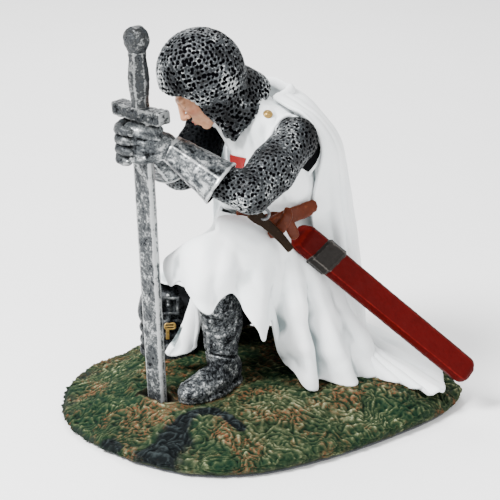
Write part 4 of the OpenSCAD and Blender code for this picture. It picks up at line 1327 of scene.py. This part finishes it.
def sleeve(name, node, pts, radii, lo, hi, seed, h=0.18, shade=None):
    pts = np.array(pts, float)

    def field(p):
        d = rod(p, pts[0], pts[1], radii[0], radii[1])
        for a, b, ra, rb in zip(pts[1:], pts[2:], radii[1:], radii[2:]):
            d = smin(d, rod(p, a, b, ra, rb), 1.2)
        return d
    v, f = surface(field, lo, hi, h)
    v = v + normals(v, f) * (fbm(v, 0.14, 2, seed) * 0.35)[:, None]
    centres = scatter(v, 1.00, seed)
    v2, pit = mail(v, f, centres, 0.37, 0.36, seed)
    v2 = v2 + normals(v, f) * (fbm(v, 1.5, 2, seed + 3) * 0.07)[:, None]
    return plain_attrs(name, v2, f, M_MAIL, FIG, (node,), {"pit": pit, "cav": cavity(v2, f, 12, 0.2),
                                                           "ao": shade(v2) if shade else np.zeros(len(v2))})


L_ELBOW, L_WRIST = np.array([20.5, -16.6, 62.8]), np.array([2.2, -26.4, 75.8])
R_ELBOW, R_WRIST = np.array([-17.5, -5, 60.6]), np.array([-9, -24, 74])

sleeve("near_sleeve", "left_sleeve",
       [(13.2, 6.0, 74.6), (17.0, 4.0, 74.6), (19.6, -6.8, 69.4), (19.9, -15.0, 65.0),
        L_ELBOW + 0.40 * (L_WRIST - L_ELBOW)], (4.8, 5.4, 5.8, 5.3, 4.1), (4, -28, 54), (28, 13, 83), 31,
       shade=lambda v: smoothstep(1.5, 7.5, v[:, 1]) * 0.9)
sleeve("far_sleeve", "right_sleeve",
       [(-11.0, 4.8, 74.6), (-12.2, 2.0, 73.6), (-11.8, -3.0, 67.0), (-16.2, -4.8, 61.8),
        R_ELBOW + 0.40 * (R_WRIST - R_ELBOW)], (4.8, 5.6, 6.2, 5.5, 4.4), (-25, -22, 52), (-3, 12, 82), 37,
        0.21,
       shade=lambda v: 0.15 + 0.85 * smoothstep(58, 66, v[:, 2]))


def cuff(name, node, elbow, wrist, start, end, r0, r1, seed):
    """A flared gauntlet cuff: a cone with a rolled rim and a hollow end round the sleeve."""
    axis = unit(wrist - elbow)
    a, b = elbow + (wrist - elbow) * start, elbow + (wrist - elbow) * end
    length = np.linalg.norm(b - a)
    nt = 132
    prof = []
    for s in np.linspace(0, 1, 70):
        r = r0 + (r1 - r0) * s ** 0.85
        prof.append((s * length, r + 0.22 * math.exp(-((s - 0.03) / 0.03) ** 2)))
    inner = [(1.9, r0 - 1.6), (1.2, r0 - 0.9), (0.5, r0 - 0.66), (0.08, r0 - 0.55), (-0.06, r0 - 0.3),
             (-0.02, r0 + 0.0)]
    tail = [(length + 0.5, r1 * 0.9), (length + 0.8, r1 * 0.6), (length + 0.85, r1 * 0.2)]
    prof = [(2.6, r0 - 2.6), (2.5, 0.4 * r0)][::-1] + inner + prof + tail
    up = unit(np.array([0, 0, 1.0]) - axis * axis[2])
    side = np.cross(axis, up)
    th = around(nt)
    ridge = np.zeros(nt)
    for c in (0.9, 2.6, 4.4):
        ridge += np.exp(-(((th - c + math.pi) % (2 * math.pi) - math.pi) / 0.07) ** 2)
    rows = []
    for z, r in prof:
        rr = r * (1 + 0.06 * np.cos(2 * th))
        on = smoothstep(0.3, 1.5, z) * (r > r1)
        rows.append(a + axis * z + np.outer((rr + 0.20 * ridge * on) * np.cos(th), side)
                    + np.outer((rr + 0.20 * ridge * on) * np.sin(th), up))
    g = np.array(rows)
    v, f = g.reshape(-1, 3), quads(len(rows), nt, wrap_v=True)
    v = v + normals(v, f) * (fbm(v, 0.35, 3, seed) * 0.16)[:, None]
    f = outward(v, f)
    cav = cavity(v, f, 10, 0.10)
    # painted shade: the rows inside the hollow end get a deep cavity value, so they paint black
    deep = (np.arange(len(v)) < nt * 6).astype(float)
    c0, c1 = len(v), len(v) + 1
    v = np.concatenate([v, [g[0].mean(0), g[-1].mean(0)]])
    j = np.arange(nt)
    last = (len(rows) - 1) * nt
    faces = f.tolist() + [[c0, k, (k + 1) % nt] for k in j] + [[c1, last + (k + 1) % nt, last + k] for k in j]
    obj = make(name, v, faces, M_GAUNT, {"cav": np.r_[np.clip(cav + deep * 3, -1, 3), 3, 0],
                                         "ao": np.zeros(len(v))})
    fix_normals(obj)
    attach(obj, FIG)
    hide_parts(node)


cuff("near_cuff", "left_cuff", L_ELBOW, L_WRIST, 0.335, 0.96, 6.3, 3.6, 3)
cuff("far_cuff", "right_cuff", R_ELBOW, R_WRIST, 0.335, 0.96, 6.0, 3.5, 4)


def on_sword(x, y, z):
    """A point given across the blade, through it and up its length."""
    return SWORD_FOOT + np.array([x, 0, 0]) + SWORD_BACK * y + SWORD_UP * z


HAND_MID = 68.3
HAND_TOP = 73.5
SWORD_AXES = np.stack([[1, 0, 0], SWORD_BACK, SWORD_UP], 1)


def in_sword(p):
    """Coordinates across the blade, through it and along it, from the middle of the hands."""
    return (p - on_sword(0, 0, HAND_MID)) @ SWORD_AXES


def blade_hole(q):
    return np.maximum(np.abs(q[..., 0]) - 3.5, np.abs(q[..., 1]) - 1.28)


def near_hand(p):
    q = in_sword(p)
    w = in_sword(L_WRIST)
    dr = np.hypot(q[..., 0], q[..., 1]) - 3.1
    dz = np.abs(q[..., 2]) - 3.5
    d = np.hypot(np.maximum(dr, 0), np.maximum(dz, 0)) + np.minimum(np.maximum(dr, dz), 0) - 1.35
    d = smin(d, rod(q, (2.6, 0.6, -0.3), w * 0.85 + [0.3, -0.4, 0], 3.9, 3.5), 1.6)
    for z in (3.4, 1.2, -1.1, -3.3):
        ridge = rod(q, (-0.6, -4.45, z), (3.9, -3.0, z * 0.85 - 0.1), 0.62, 0.5)
        d = smin(d, ridge, 0.45)
        d = smin(d, rod(q, (3.9, -3.0, z * 0.85 - 0.1), (6.0, 0.4, z * 0.6 - 0.4), 0.5, 0.3), 0.7)
        d = smin(d, ball(q, (0.9, -4.35, z), 0.98), 0.3)
    for z in (2.3, 0.05, -2.2):
        d = smax(d, -rod(q, (-3.0, -4.9, z), (2.2, -4.6, z), 0.34), 0.25)
    d = smin(d, rod(q, (4.4, 1.6, 3.4), (0.6, -3.4, 3.9), 1.25, 1.0), 0.4)
    d = smax(d, -blade_hole(q), 0.15)
    return smax(d, q[..., 2] - (HAND_TOP - HAND_MID), 0.25)


def far_hand(p):
    q = in_sword(p)
    w = in_sword(R_WRIST)
    d = smin(rod(q, w * 0.9, (-3.4, 3.2, -1.2), 3.3, 3.3), egg(q, (-3.6, 3.0, -0.3), (2.7, 2.7, 4.6)), 1.0)
    for k in range(4):
        z = 3.85 - 2.56 * k
        ang = np.radians([112, 140, 166, 192, 216, 240, 262, 282 - 5 * (k % 2) - 4 * (k == 3)])
        r = [5.3, 5.5, 5.7, 5.75, 5.7, 5.7, 5.5, 5.2]
        rad = [1.2, 1.2, 1.22, 1.32, 1.2, 1.32, 1.2, 1.02]
        pts = [(rr * math.cos(a), rr * math.sin(a), z + 0.12 * math.sin(3 * a + k)) for rr, a in zip(r, ang)]
        f = rod(q, pts[0], pts[1], rad[0], rad[1])
        for a, b, ra, rb in zip(pts[1:], pts[2:], rad[1:], rad[2:]):
            f = smin(f, rod(q, a, b, ra, rb), 0.25)
        d = smin(d, f, 0.12)
    for k in range(4):
        z = 3.85 - 2.56 * k
        for a in (203, 250):
            c, s = math.cos(math.radians(a)), math.sin(math.radians(a))
            cut = rod(q, (7.2 * c, 7.2 * s, z - 0.9), (7.2 * c, 7.2 * s, z + 0.9), 0.32)
            d = smax(d, -cut, 0.2)
    hollow = np.hypot(q[..., 0], q[..., 1]) - 4.2
    d = smax(d, -np.maximum(hollow, np.abs(q[..., 2]) - 6), 0.1)
    d = smax(d, -blade_hole(q), 0.1)
    return smax(d, q[..., 2] - (HAND_TOP - HAND_MID), 0.25)


c0 = on_sword(0, 0, HAND_MID)
solid("near_gauntlet", near_hand, c0 - [6.5, 7, 8], c0 + [10, 11, 7], 0.15, M_GAUNT, FIG, ("left_hand",),
      0.20, 12, 0.07)
solid("far_gauntlet", far_hand, c0 - [13, 8.5, 9], c0 + [5, 13, 8], 0.16, M_GAUNT_SHADED, FIG, ("right_hand",), 0.20,
      12, 0.07, 2)


# ---------------------------------------------------------------- sword

def polygon_ring(pts, n):
    """n points evenly round a closed polygon."""
    p = np.array(list(pts) + [pts[0]], float)
    s = np.r_[0, np.cumsum(np.linalg.norm(np.diff(p, axis=0), axis=1))]
    t = np.linspace(0, s[-1], n, endpoint=False)
    return np.stack([np.interp(t, s, p[:, 0]), np.interp(t, s, p[:, 1])], 1)


def build_sword():
    rows = []
    for z in np.linspace(-4.6, 74.2, 430):
        w = 3.02 + 0.18 * smoothstep(0, 50, z)
        t = 1.0
        w *= smoothstep(-7.4, -2.0, z) ** 0.5
        ring = polygon_ring([(-w, -t + 0.45), (-w + 0.4, -t), (-0.35, -t * 0.97), (0.35, -t * 0.97),
                             (w - 0.4, -t),
                             (w, -t + 0.45), (w, t - 0.45), (w - 0.4, t), (0.35, t * 0.97), (-0.35, t * 0.97),
                             (-w + 0.4, t), (-w, t - 0.45)], 68)
        rows.append([on_sword(x, y, z) for x, y in ring])
    loft("sword_blade_skin", M_BLADE, SWORD, ("sword_blade",), rows, 8, 0.06, 0.045, 3)

    rows = []
    for x in np.linspace(-8.6, 8.6, 130):
        s = abs(x) / 8.6
        lift = 0.28 * (s * s - 0.4)
        hh, dd = 1.66 + 0.10 * s, 1.98 + 0.14 * s
        hh -= 0.25 * smoothstep(0.93, 1.0, s)
        dd -= 0.25 * smoothstep(0.93, 1.0, s)
        ring = polygon_ring([(-dd, -hh + 0.3), (-dd + 0.3, -hh), (dd - 0.3, -hh), (dd, -hh + 0.3),
                             (dd, hh - 0.3), (dd - 0.3, hh), (-dd + 0.3, hh), (-dd, hh - 0.3)], 72)
        rows.append([on_sword(x, y, 75.7 + z + lift) for y, z in ring])
    loft("sword_guard_skin", M_SWORD, SWORD, ("sword_guard",), rows, 10, 0.09, 0.12, 5)

    rows = []
    for z in np.linspace(0, 13.9, 120):
        s = z / 13.6
        r = np.interp(s, [0, 0.08, 0.25, 0.5, 0.72, 0.9, 1.0], [2.45, 2.3, 2.5, 2.82, 2.6, 2.25, 2.4])
        th = around(72)
        face = 1 / np.maximum.reduce([np.abs(np.cos(th - o))
                                      for o in (0.4, 0.4 + math.pi / 3, 0.4 + 2 * math.pi / 3)])
        rr = r * (0.90 + 0.10 * (face - 1) / 0.1547) * 0.98
        rows.append([on_sword(x, y, 77.3 + z) for x, y in zip(rr * np.cos(th), rr * np.sin(th))])
    loft("sword_grip_skin", M_SWORD, SWORD, ("sword_grip",), rows, 10, 0.09, 0.10, 7)

    top = on_sword(0, 0, 94.4)

    def pommel(p):
        q = (p - top) @ SWORD_AXES
        r = np.hypot(q[..., 0], q[..., 2])
        y = np.abs(q[..., 1])
        def drum(rad, half, edge):
            a, b = r - rad + edge, y - half + edge
            return np.hypot(np.maximum(a, 0), np.maximum(b, 0)) + np.minimum(np.maximum(a, b), 0) - edge
        d = smin(drum(3.35, 2.0, 1.1), drum(2.0, 2.6, 0.7), 0.5)
        return smin(d, rod(q, (0, 0, -3.6), (0, 0, -2.4), 2.0, 2.0), 0.8)
    solid("sword_pommel_skin", pommel, top - [4, 4, 6], top + [4, 4, 4], 0.12, M_SWORD, SWORD,
          ("sword_pommel",), 0.14, 12,
          0.14, 9)


build_sword()


# ---------------------------------------------------------------- legs and armour

L_KNEE = np.array([6, -17, 45.0])
R_KNEE, R_ANKLE = np.array([-22.4, -4.6, 15.4]), np.array([-20, 22, 14.0])


def build_boot():
    """The raised leg's greave and pointed boot, one crackled skin."""
    def field(p):
        d = rod(p, L_KNEE - [0, -1.5, 2], (5.6, -12.4, 31), 5.2, 4.9)
        d = smin(d, rod(p, (5.4, -12.4, 31), (5.2, -11.0, 16.5), 4.9, 4.2), 1.5)
        d = smin(d, egg(p, (5.6, -10.6, 26.5), (4.6, 4.9, 8.0)), 1.2)
        d = smin(d, egg(p, (5.5, -9.4, 12.8), (3.5, 4.2, 4.4)), 1.2)
        foot = smin(egg(p, (5.8, -15.6, 11.0), (4.0, 6.6, 4.0)), egg(p, (5.8, -21.4, 9.8), (3.9, 5.0, 3.4)),
                    1.8)
        d = smin(d, foot, 1.4)
        ring = np.abs(p[..., 2] - 17.5 + (p[..., 1] + 11) * 0.25) - 0.35
        d = smax(d, -np.maximum(ring, -(d + 0.35)), 0.15)
        seam = rod(p, (5.5, -17.6, 42), (5.5, -15.8, 18), 0.4)
        d = smin(d, seam, 0.5)
        sole = smin(egg(p, (5.8, -17.4, 8.2), (4.3, 8.9, 1.6)), egg(p, (5.5, -9.2, 9.4), (3.7, 4.3, 2.0)),
                    1.2)
        d = smin(d, sole, 0.5)
        return smax(d, 6.3 - p[..., 2], 0.1)
    solid("near_boot", field, (-1, -28.5, 5.8), (12.5, -2, 46), 0.19, M_BOOT, FIG,
          ("left_shin", "left_foot"), 0.20, 14,
          0.18, 3)


build_boot()


def build_far_leg():
    def thigh(p):
        d = rod(p, (-10.5, 9, 38), R_KNEE + [0.5, 0.5, 1], 8.2, 5.8)
        d = smin(d, rod(p, R_KNEE + [0, 3, 0], R_ANKLE, 5.4, 4.2), 1.0)
        d = smin(d, rod(p, R_ANKLE, R_ANKLE + [0.5, 9, -2.2], 3.4, 2.4), 1.0)
        return smax(d, 8.4 - p[..., 2], 0.2)
    solid("far_leg", thigh, (-31, -13, 8), (0, 36, 47), 0.42, M_DARK, FIG,
          ("right_thigh", "right_shin", "right_foot"), 0.3, 6,
          0.15, 4)

    def near_thigh(p):
        d = rod(p, (5.5, 9, 38), L_KNEE + [0, 1, -1.5], 7.0, 4.6)
        return smin(d, egg(p, (-2.3, 9, 43), (10.4, 8.0, 7.6)), 2.0)
    solid("near_thigh", near_thigh, (-14, -24, 30), (14, 18, 52), 0.42, M_DARK, FIG,
          ("left_thigh", "pelvis"), 0.3, 6, 0.15, 5)

    turn = rot("z", 50)

    def local(p):
        return (p - np.array([R_KNEE[0], R_KNEE[1], 0])) @ turn

    def plate(p):
        q = local(p)
        r = np.hypot(q[..., 0], q[..., 1])
        z = q[..., 2]
        top = egg(q, (0, 0, 22.6), (7.6, 7.6, 6.4))
        d = smin(smax(top, -(z - 18.5), 0.6), smax(r - 7.0, np.abs(z - 14.8) - 5.6, 0.4), 0.4)
        for zc, rr in ((19.6, 7.75), (16.0, 7.5), (12.6, 7.35)):
            lame = np.hypot(r - rr + 0.55, (z - zc) * 0.75) - 0.72
            d = smin(d, lame, 0.25)
        keel = rod(q, (0, -7.1, 27.2), (0, -7.4, 18.6), 0.7, 0.55)
        d = smin(d, keel, 0.6)
        for sx in (-1, 1):
            wing = egg(q, (sx * 5.6, -3.0, 21.8), (2.5, 3.4, 4.2))
            d = smin(d, wing, 0.7)
        strap = np.maximum(np.abs(z - 9.6) - 0.9, r - 7.5)
        d = smin(d, strap, 0.3)
        return smax(d, 8.7 - z, 0.2)
    c = np.array([R_KNEE[0], R_KNEE[1], 18.0])
    v, f = surface(plate, c - [9.5, 9.5, 10], c + [9.5, 9.5, 11], 0.19)
    v = v + normals(v, f) * (fbm(v, 0.8, 3, 8) * 0.08)[:, None]
    plain("knee_armour", v, f, M_KNEE, FIG, ("knee_plate",), 0.2, 12)

    def framefn(p):
        q = local(p)
        q = q - np.array([0.0, -7.45, 24.6])
        x, y, z = np.abs(q[..., 0]), q[..., 1] + 0.05 * q[..., 0] ** 2, np.abs(q[..., 2])
        ring = np.abs(np.maximum(x / 2.8, z / 2.5) - 0.86) * 2.5 - 0.34
        d = smax(ring, np.abs(y) - 0.75, 0.25)
        return smin(d, ball(np.stack([q[..., 0], y, q[..., 2]], -1), (0, -0.1, 0), 0.7), 0.1)
    c = np.array([R_KNEE[0], R_KNEE[1], 24.6]) + turn @ np.array([0, -7.4, 0])
    solid("knee_ornament", framefn, c - [5, 5, 4], c + [5, 5, 4], 0.11, M_GAUNT_SHADED, FIG, ("knee_frame",), 0.12,
          10, 0.05, 6)

    def buckle(p):
        q = local(p) - np.array([0.3, -7.85, 18.8])
        x, z = np.abs(q[..., 0]), np.abs(q[..., 2])
        y = q[..., 1] + 0.05 * q[..., 0] ** 2
        hoop = np.hypot((np.maximum(x - 0.75, 0) ** 2 + np.maximum(z - 0.15, 0) ** 2) ** 0.5 - 0.62, y) - 0.29
        d = np.minimum(hoop, rod(np.stack([q[..., 0], y, q[..., 2]], -1), (-1.2, -0.15, 0), (1.0, -0.2, 0),
                                 0.22))
        lower = np.maximum(np.abs(q[..., 2] + 2.3) - 1.35, np.abs(y + 0.02) - 0.32)
        lower = np.maximum(lower, np.abs(q[..., 0] + 0.7) - 0.45)
        return np.minimum(d, lower)
    c = np.array([R_KNEE[0], R_KNEE[1], 17.3]) + turn @ np.array([0, -7.8, 0])
    solid("knee_strap_buckle", buckle, c - [4, 4, 4], c + [4, 4, 4], 0.10, M_GOLD, FIG, ("knee_buckle",),
          0.12, 8, 0.03, 6)


build_far_leg()


# ---------------------------------------------------------------- belt, scabbard, cross and stud

def strap(name, mat, nodes, pts, width, thick, up, n=90, taper=None, seed=1):
    path = resample(catmull(pts, 400), n)
    def section(k):
        w = width * (1 if taper is None else float(np.interp(k / (n - 1), *taper))) / 2
        a = around(36)
        e = 3.4
        return (w * np.sign(np.cos(a)) * np.abs(np.cos(a)) ** (2 / e),
                thick / 2 * np.sign(np.sin(a)) * np.abs(np.sin(a)) ** (2 / 2.6))
    rows = tube(path, section, up)
    return loft(name, mat, FIG, nodes, rows, 8, 0.10, 0.06, seed)


WAIST = (-2.3, 8.5)
WAIST_R = (12.2, 9.8)


def build_belt():
    n = 300
    th = around(n)
    rows = []
    for k in range(n):
        t = th[k]
        c = np.array([*WAIST, 52.5 + 0.5 * math.sin(3 * t)])
        dirn = np.array([math.cos(t), math.sin(t), 0])
        base = 1 / math.sqrt((math.cos(t) / WAIST_R[0]) ** 2 + (math.sin(t) / WAIST_R[1]) ** 2)
        base *= 1 - 0.16 * math.exp(-((t - 4.45) / 0.75) ** 2)
        ring = []
        a = around(32)
        for q in a:
            off = 0.75 * np.sign(math.cos(q)) * abs(math.cos(q)) ** 0.7
            hz = 1.95 * np.sign(math.sin(q)) * abs(math.sin(q)) ** 0.6
            ring.append(c + dirn * (base + 0.75 + off) + np.array([0, 0, hz]))
        rows.append(ring)
    v = np.array(rows).reshape(-1, 3)
    f = quads(n, 32, wrap_u=True, wrap_v=True)
    f = outward(v, f)
    v = draw_in(v + normals(v, f) * (fbm(v, 0.4, 3, 3) * 0.12)[:, None])
    v[:, :2] += (2.2 * smoothstep(0.0, -3.5, diagonal(v)))[:, None]
    obj = plain("waist_belt", v, f, M_BROWN, FIG, ("belt",), 0.1, 8)
    fix_normals(obj)


build_belt()


def build_blouse():
    """The surcoat's fullness that falls over the belt in front."""
    t = np.linspace(-2.95, -0.75, 90)
    base = 1 / np.sqrt((np.cos(t) / WAIST_R[0]) ** 2 + (np.sin(t) / WAIST_R[1]) ** 2)
    base = base * (1 - 0.16 * np.exp(-((t + 2 * math.pi - 4.45) / 0.75) ** 2))
    out = base + 0.9
    path = draw_in(np.stack([WAIST[0] + out * np.cos(t), WAIST[1] + out * np.sin(t),
                             55.4 + 0.3 * np.sin(3 * t)], 1))

    def section(k):
        a = around(28)
        r = 1.75 * math.sin(math.pi * (0.08 + 0.84 * k / 89)) ** 0.5 * (1 + 0.08 * math.sin(0.45 * k))
        return r * np.cos(a), r * 1.5 * np.sin(a)
    loft("surcoat_blouse", M_WHITE, FIG, (), tube(path, section, (0, 0, 1)), 20, 0.3, 0)


build_blouse()

strap("belt_end", M_BROWN, (),
      [(14.6, -4.0, 52.6), (16.4, -1.6, 54.0), (17.8, 1.8, 55.0), (18.6, 5.6, 55.6), (18.8, 9.4, 56.4)],
      3.9, 1.4, (0.9, -0.3, 0.3), 110, ([0, 0.1, 0.35, 0.8, 0.97, 1], [0.65, 0.85, 1.0, 1.0, 0.8, 0.5]), 5)
strap("belt_tongue", M_BROWN, ("belt_tails",),
      [(16.6, -0.6, 55.2), (18.2, -0.4, 54.0), (19.2, 0.2, 52.0), (20.3, 0.6, 49.6)],
      3.0, 1.2, (0.9, -0.4, 0.2), 70, ([0, 0.3, 0.8, 0.96, 1], [0.8, 1.0, 0.98, 0.75, 0.45]), 6)
strap("belt_loop", M_BROWN, (),
      [(15.6, -4.0, 50.6), (17.0, -3.2, 51.4), (18.0, -1.8, 53.0), (18.2, -0.4, 55.2), (17.4, 0.8, 56.8)],
      3.0, 1.3, (0.9, -0.4, 0.2), 70, ([0, 0.3, 0.8, 1], [0.7, 1.0, 0.9, 0.6]), 8)
strap("scabbard_strap", M_OLIVE, ("scabbard_hanger",),
      [(14.6, -9.4, 57.6), (15.9, -8.2, 56.0), (17.8, -6.2, 53.6), (20.0, -4.0, 50.4),
                                                       (21.4, -2.4, 47.6)], 2.9, 1.0, (0.75, -0.5, 0.4), 90,
      ([0, 0.14, 0.3, 0.7, 1], [1.25, 1.25, 0.9, 0.85, 0.7]), 9)


def build_ring():
    c = np.array([16.4, -7.2, 57.0])
    nrm = unit(np.array([0.72, -0.62, 0.3]))
    a = unit(np.cross(nrm, [0, 0, 1]))
    b = np.cross(nrm, a)
    rows = []
    for t in around(60):
        mid = c + (a * math.cos(t) * 1.5 + b * math.sin(t) * 1.35)
        out = a * math.cos(t) + b * math.sin(t)
        rows.append([mid + out * 0.42 * math.cos(s) + nrm * 0.42 * math.sin(s) for s in around(16)])
    v = np.array(rows).reshape(-1, 3)
    f = quads(60, 16, wrap_u=True, wrap_v=True)
    obj = plain("belt_ring_skin", v, f, M_RING, FIG, ("belt_ring",), 0.08, 4)
    fix_normals(obj)


build_ring()

SCAB_AT = np.array([17.7, 5.9, 48.0])
SCAB = rot("z", 43) @ rot("y", 40.4) @ rot("x", -33)


def scab(x, y, z):
    return SCAB_AT + SCAB @ np.array([x, y, z])


def build_scabbard():
    end = 54.4

    def section(x, grow=0.0, n=96):
        s = x / 57.0
        w = 3.85 - 0.25 * s + grow
        t = 2.2 - 0.15 * s + grow
        pts = [(-t * 0.30, -w), (t * 0.45, -w + 0.10), (t * 0.98, -w + 0.95), (t, w - 1.0),
               (t * 0.5, w - 0.1), (-t * 0.5, w),
               (-t, w - 0.9), (-t, -w + 0.9)]
        return polygon_ring(pts, n)
    rows = []
    xs = np.r_[np.linspace(-1.1, end, 240), end + 2.5 * np.sin(np.linspace(0, math.pi / 2, 12))[1:]]
    for x in xs:
        ring = section(min(x, end))
        k = math.sqrt(max(0.02, 1 - (max(0.0, x - end) / 2.52) ** 2))
        head = 1 - 0.10 * max(0.0, -x) ** 2
        m = ring.mean(0)
        ring = m + (ring - m) * [0.5 + 0.5 * k, 0.55 + 0.45 * k] * head
        slant = 0.62 * (1 - smoothstep(-1.0, 4.0, x))
        rows.append([scab(x + 0.4 - slant * y, y, z) for y, z in ring])
    loft("scabbard_body", M_SCAB, FIG, ("scabbard",), rows, 8, 0.12, 0.05, 11)

    rows = []
    xs = np.linspace(5.0, 11.2, 60)
    for k, x in enumerate(xs):
        s = k / 59
        grow = (0.42 * min(1, 8 * s, 8 * (1 - s))
                + 0.12 * (math.exp(-((s - 0.1) / 0.05) ** 2) + math.exp(-((s - 0.9) / 0.05) ** 2)))
        ring = section(x, grow)
        rows.append([scab(x + 0.16 * z, y, z) for y, z in ring])
    loft("scabbard_band_skin", M_BAND, FIG, ("scabbard_band",), rows, 8, 0.10, 0.07, 12)


build_scabbard()


def build_cross():
    """A plain flared cross painted in relief on the chest, laid on the surcoat's surface."""
    centre = np.array([4.9, -6.5, 62.3])
    n, half = 170, 7.2
    a = np.linspace(-half, half, n)
    u, w = np.meshgrid(a, a, indexing="ij")
    m = np.maximum(np.abs(u), np.abs(w))
    o = np.minimum(np.abs(u), np.abs(w))
    arm = 1.25 + 0.28 * np.maximum(m - 1.5, 0)
    inside = (o < arm) & (m < 7.0)
    tree = TORSO
    pts = np.full((n, n, 3), np.nan)
    nr = np.zeros((n, n, 3))
    for i in range(n):
        for j in range(n):
            if not inside[i, j]:
                continue
            start = Vector((centre[0] + u[i, j], -30.0, centre[2] + w[i, j]))
            hit = tree.ray_cast(start, Vector((0, 1, 0)))
            if hit[0] is not None:
                pts[i, j] = np.array(hit[0])
                nr[i, j] = np.array(hit[1])
    ok = ~np.isnan(pts[..., 0])
    idx = np.full((n, n), -1)
    idx[ok] = np.arange(ok.sum())
    p, q = pts[ok], nr[ok]
    cell = ok[:-1, :-1] & ok[1:, :-1] & ok[1:, 1:] & ok[:-1, 1:]
    ii, jj = np.nonzero(cell)
    f = np.stack([idx[ii, jj], idx[ii + 1, jj], idx[ii + 1, jj + 1], idx[ii, jj + 1]], 1)
    count = len(p)
    top, bottom = p + q * 0.32, p - q * 0.25
    e = np.concatenate([np.stack([f[:, k], f[:, (k + 1) % 4]], 1) for k in range(4)])
    key = {tuple(x) for x in e.tolist()}
    border = np.array([x for x in e.tolist() if (x[1], x[0]) not in key])
    walls = np.stack([border[:, 1], border[:, 0], border[:, 0] + count, border[:, 1] + count], 1)
    used = np.zeros(count, bool)
    used[f.ravel()] = True
    faces = np.concatenate([f, f[:, ::-1] + count, walls])
    v = np.concatenate([top, bottom])
    renumber = np.full(2 * count, -1)
    live = np.concatenate([used, used])
    renumber[live] = np.arange(live.sum())
    obj = plain("chest_cross_relief", v[live], renumber[faces], M_RED, FIG, ("chest_cross",), 0.1, 4)
    fix_normals(obj)


build_cross()


def build_arm_hole():
    """The turned edge of the surcoat round the near sleeve, with a near-black sheet inside it as painted
    shadow.
    """
    ring = catmull([(13.4, 3.8, 80.0), (15.8, 7.8, 78.2), (17.9, 11.0, 74.2), (18.2, 11.4, 70.2),
                    (17.6, 9.8, 66.2), (16.6, 5.6, 63.4), (15.6, -0.2, 63.4), (14.4, -3.6, 66.6),
                    (13.6, -3.8, 72.0), (13.2, -1.2, 77.0)], 200, True)
    wob = fbm(ring, 0.25, 3, 9)[:, None] * 0.25
    ring = ring + wob
    rows = []
    t = unit(np.roll(ring, -1, 0) - np.roll(ring, 1, 0))
    c = ring.mean(0)
    for p, d in zip(ring, t):
        out = unit((p - c) - d * np.dot(p - c, d))
        side = np.cross(d, out)
        a = around(24)
        rows.append(p + np.outer(np.cos(a) * 0.62, out) + np.outer(np.sin(a) * 0.85, side))
    v = np.array(rows).reshape(-1, 3)
    f = quads(len(rows), 24, wrap_u=True, wrap_v=True)
    plain("arm_hole_edge", v, f, M_WHITE, FIG, (), 0.15, 10)
    # painted shadow: a near-black sheet closes the inside of the arm hole
    inner = []
    for s in (0.99, 0.8, 0.6, 0.4, 0.2, 0.05):
        inner.append(c + (ring - c) * s - np.array([1.0, 0.1, 0.2]) * (1.4 * (1 - s)))
    back = [g - np.array([0.7, 0, 0]) for g in inner[::-1]]
    loft("arm_hole_shadow_sheet", M_ARM_HOLE_SHADOW, FIG, (), inner + back, 2, 0.2, 0.02, 3)


build_arm_hole()


def build_stud():
    c = np.array([11.2, -0.4, 80.6])
    nrm = unit(np.array([0.42, -0.42, 0.80]))
    hit = TORSO.find_nearest(Vector(c))
    c, nrm = np.array(hit[0]), unit(np.array(hit[1]) + 0.3 * np.array([0.4, -0.5, 0.6]))
    def field(p):
        q = p - c
        z = q @ nrm
        r = np.sqrt(np.maximum((q ** 2).sum(-1) - z * z, 0))
        dome = np.sqrt(r ** 2 + (z * 1.3) ** 2) - 0.92
        brim = np.hypot(r - 0.95, z - 0.12) - 0.30
        d = smin(dome, brim, 0.12)
        return smax(d, -z - 0.5, 0.1)
    solid("shoulder_stud_skin", field, c - 2.2, c + 2.2, 0.07, M_GOLD, FIG, ("shoulder_stud",), 0.08, 6,
          0.02, 3)


build_stud()


def build_dowels():
    for name, x, y, z0, z1 in (("near_dowel", 5.8, -11, 4, 13), ("far_dowel", -22.4, -4.6, 4, 12)):
        th = around(32)
        rows = [np.c_[x + 0.9 * np.cos(th), y + 0.9 * np.sin(th), np.full(32, z)]
                for z in np.linspace(z0, z1, 12)]
        loft(name, M_BRASS, FIG, ("dowels",) if name == "near_dowel" else (), rows, 2, 0.1, 0.01, 2)


build_dowels()


# ---------------------------------------------------------------- floor

def build_floor():
    m = Nodes("studio_floor", rough=0.7, spec=0.2)
    n = m.noise(0.02, 3)
    m.out(m.mix(m.remap(n, 0.3, 0.7), (0.96, 0.96, 0.96), (0.975, 0.975, 0.975)),
          rough=m.remap(n, 0.3, 0.7, 0.66, 0.74))
    obj = make("studio_floor", [(-3000, -3000, 0), (3000, -3000, 0), (3000, 3000, 0), (-3000, 3000, 0)],
               [(0, 1, 2, 3)], m.mat, smooth=False)


build_floor()
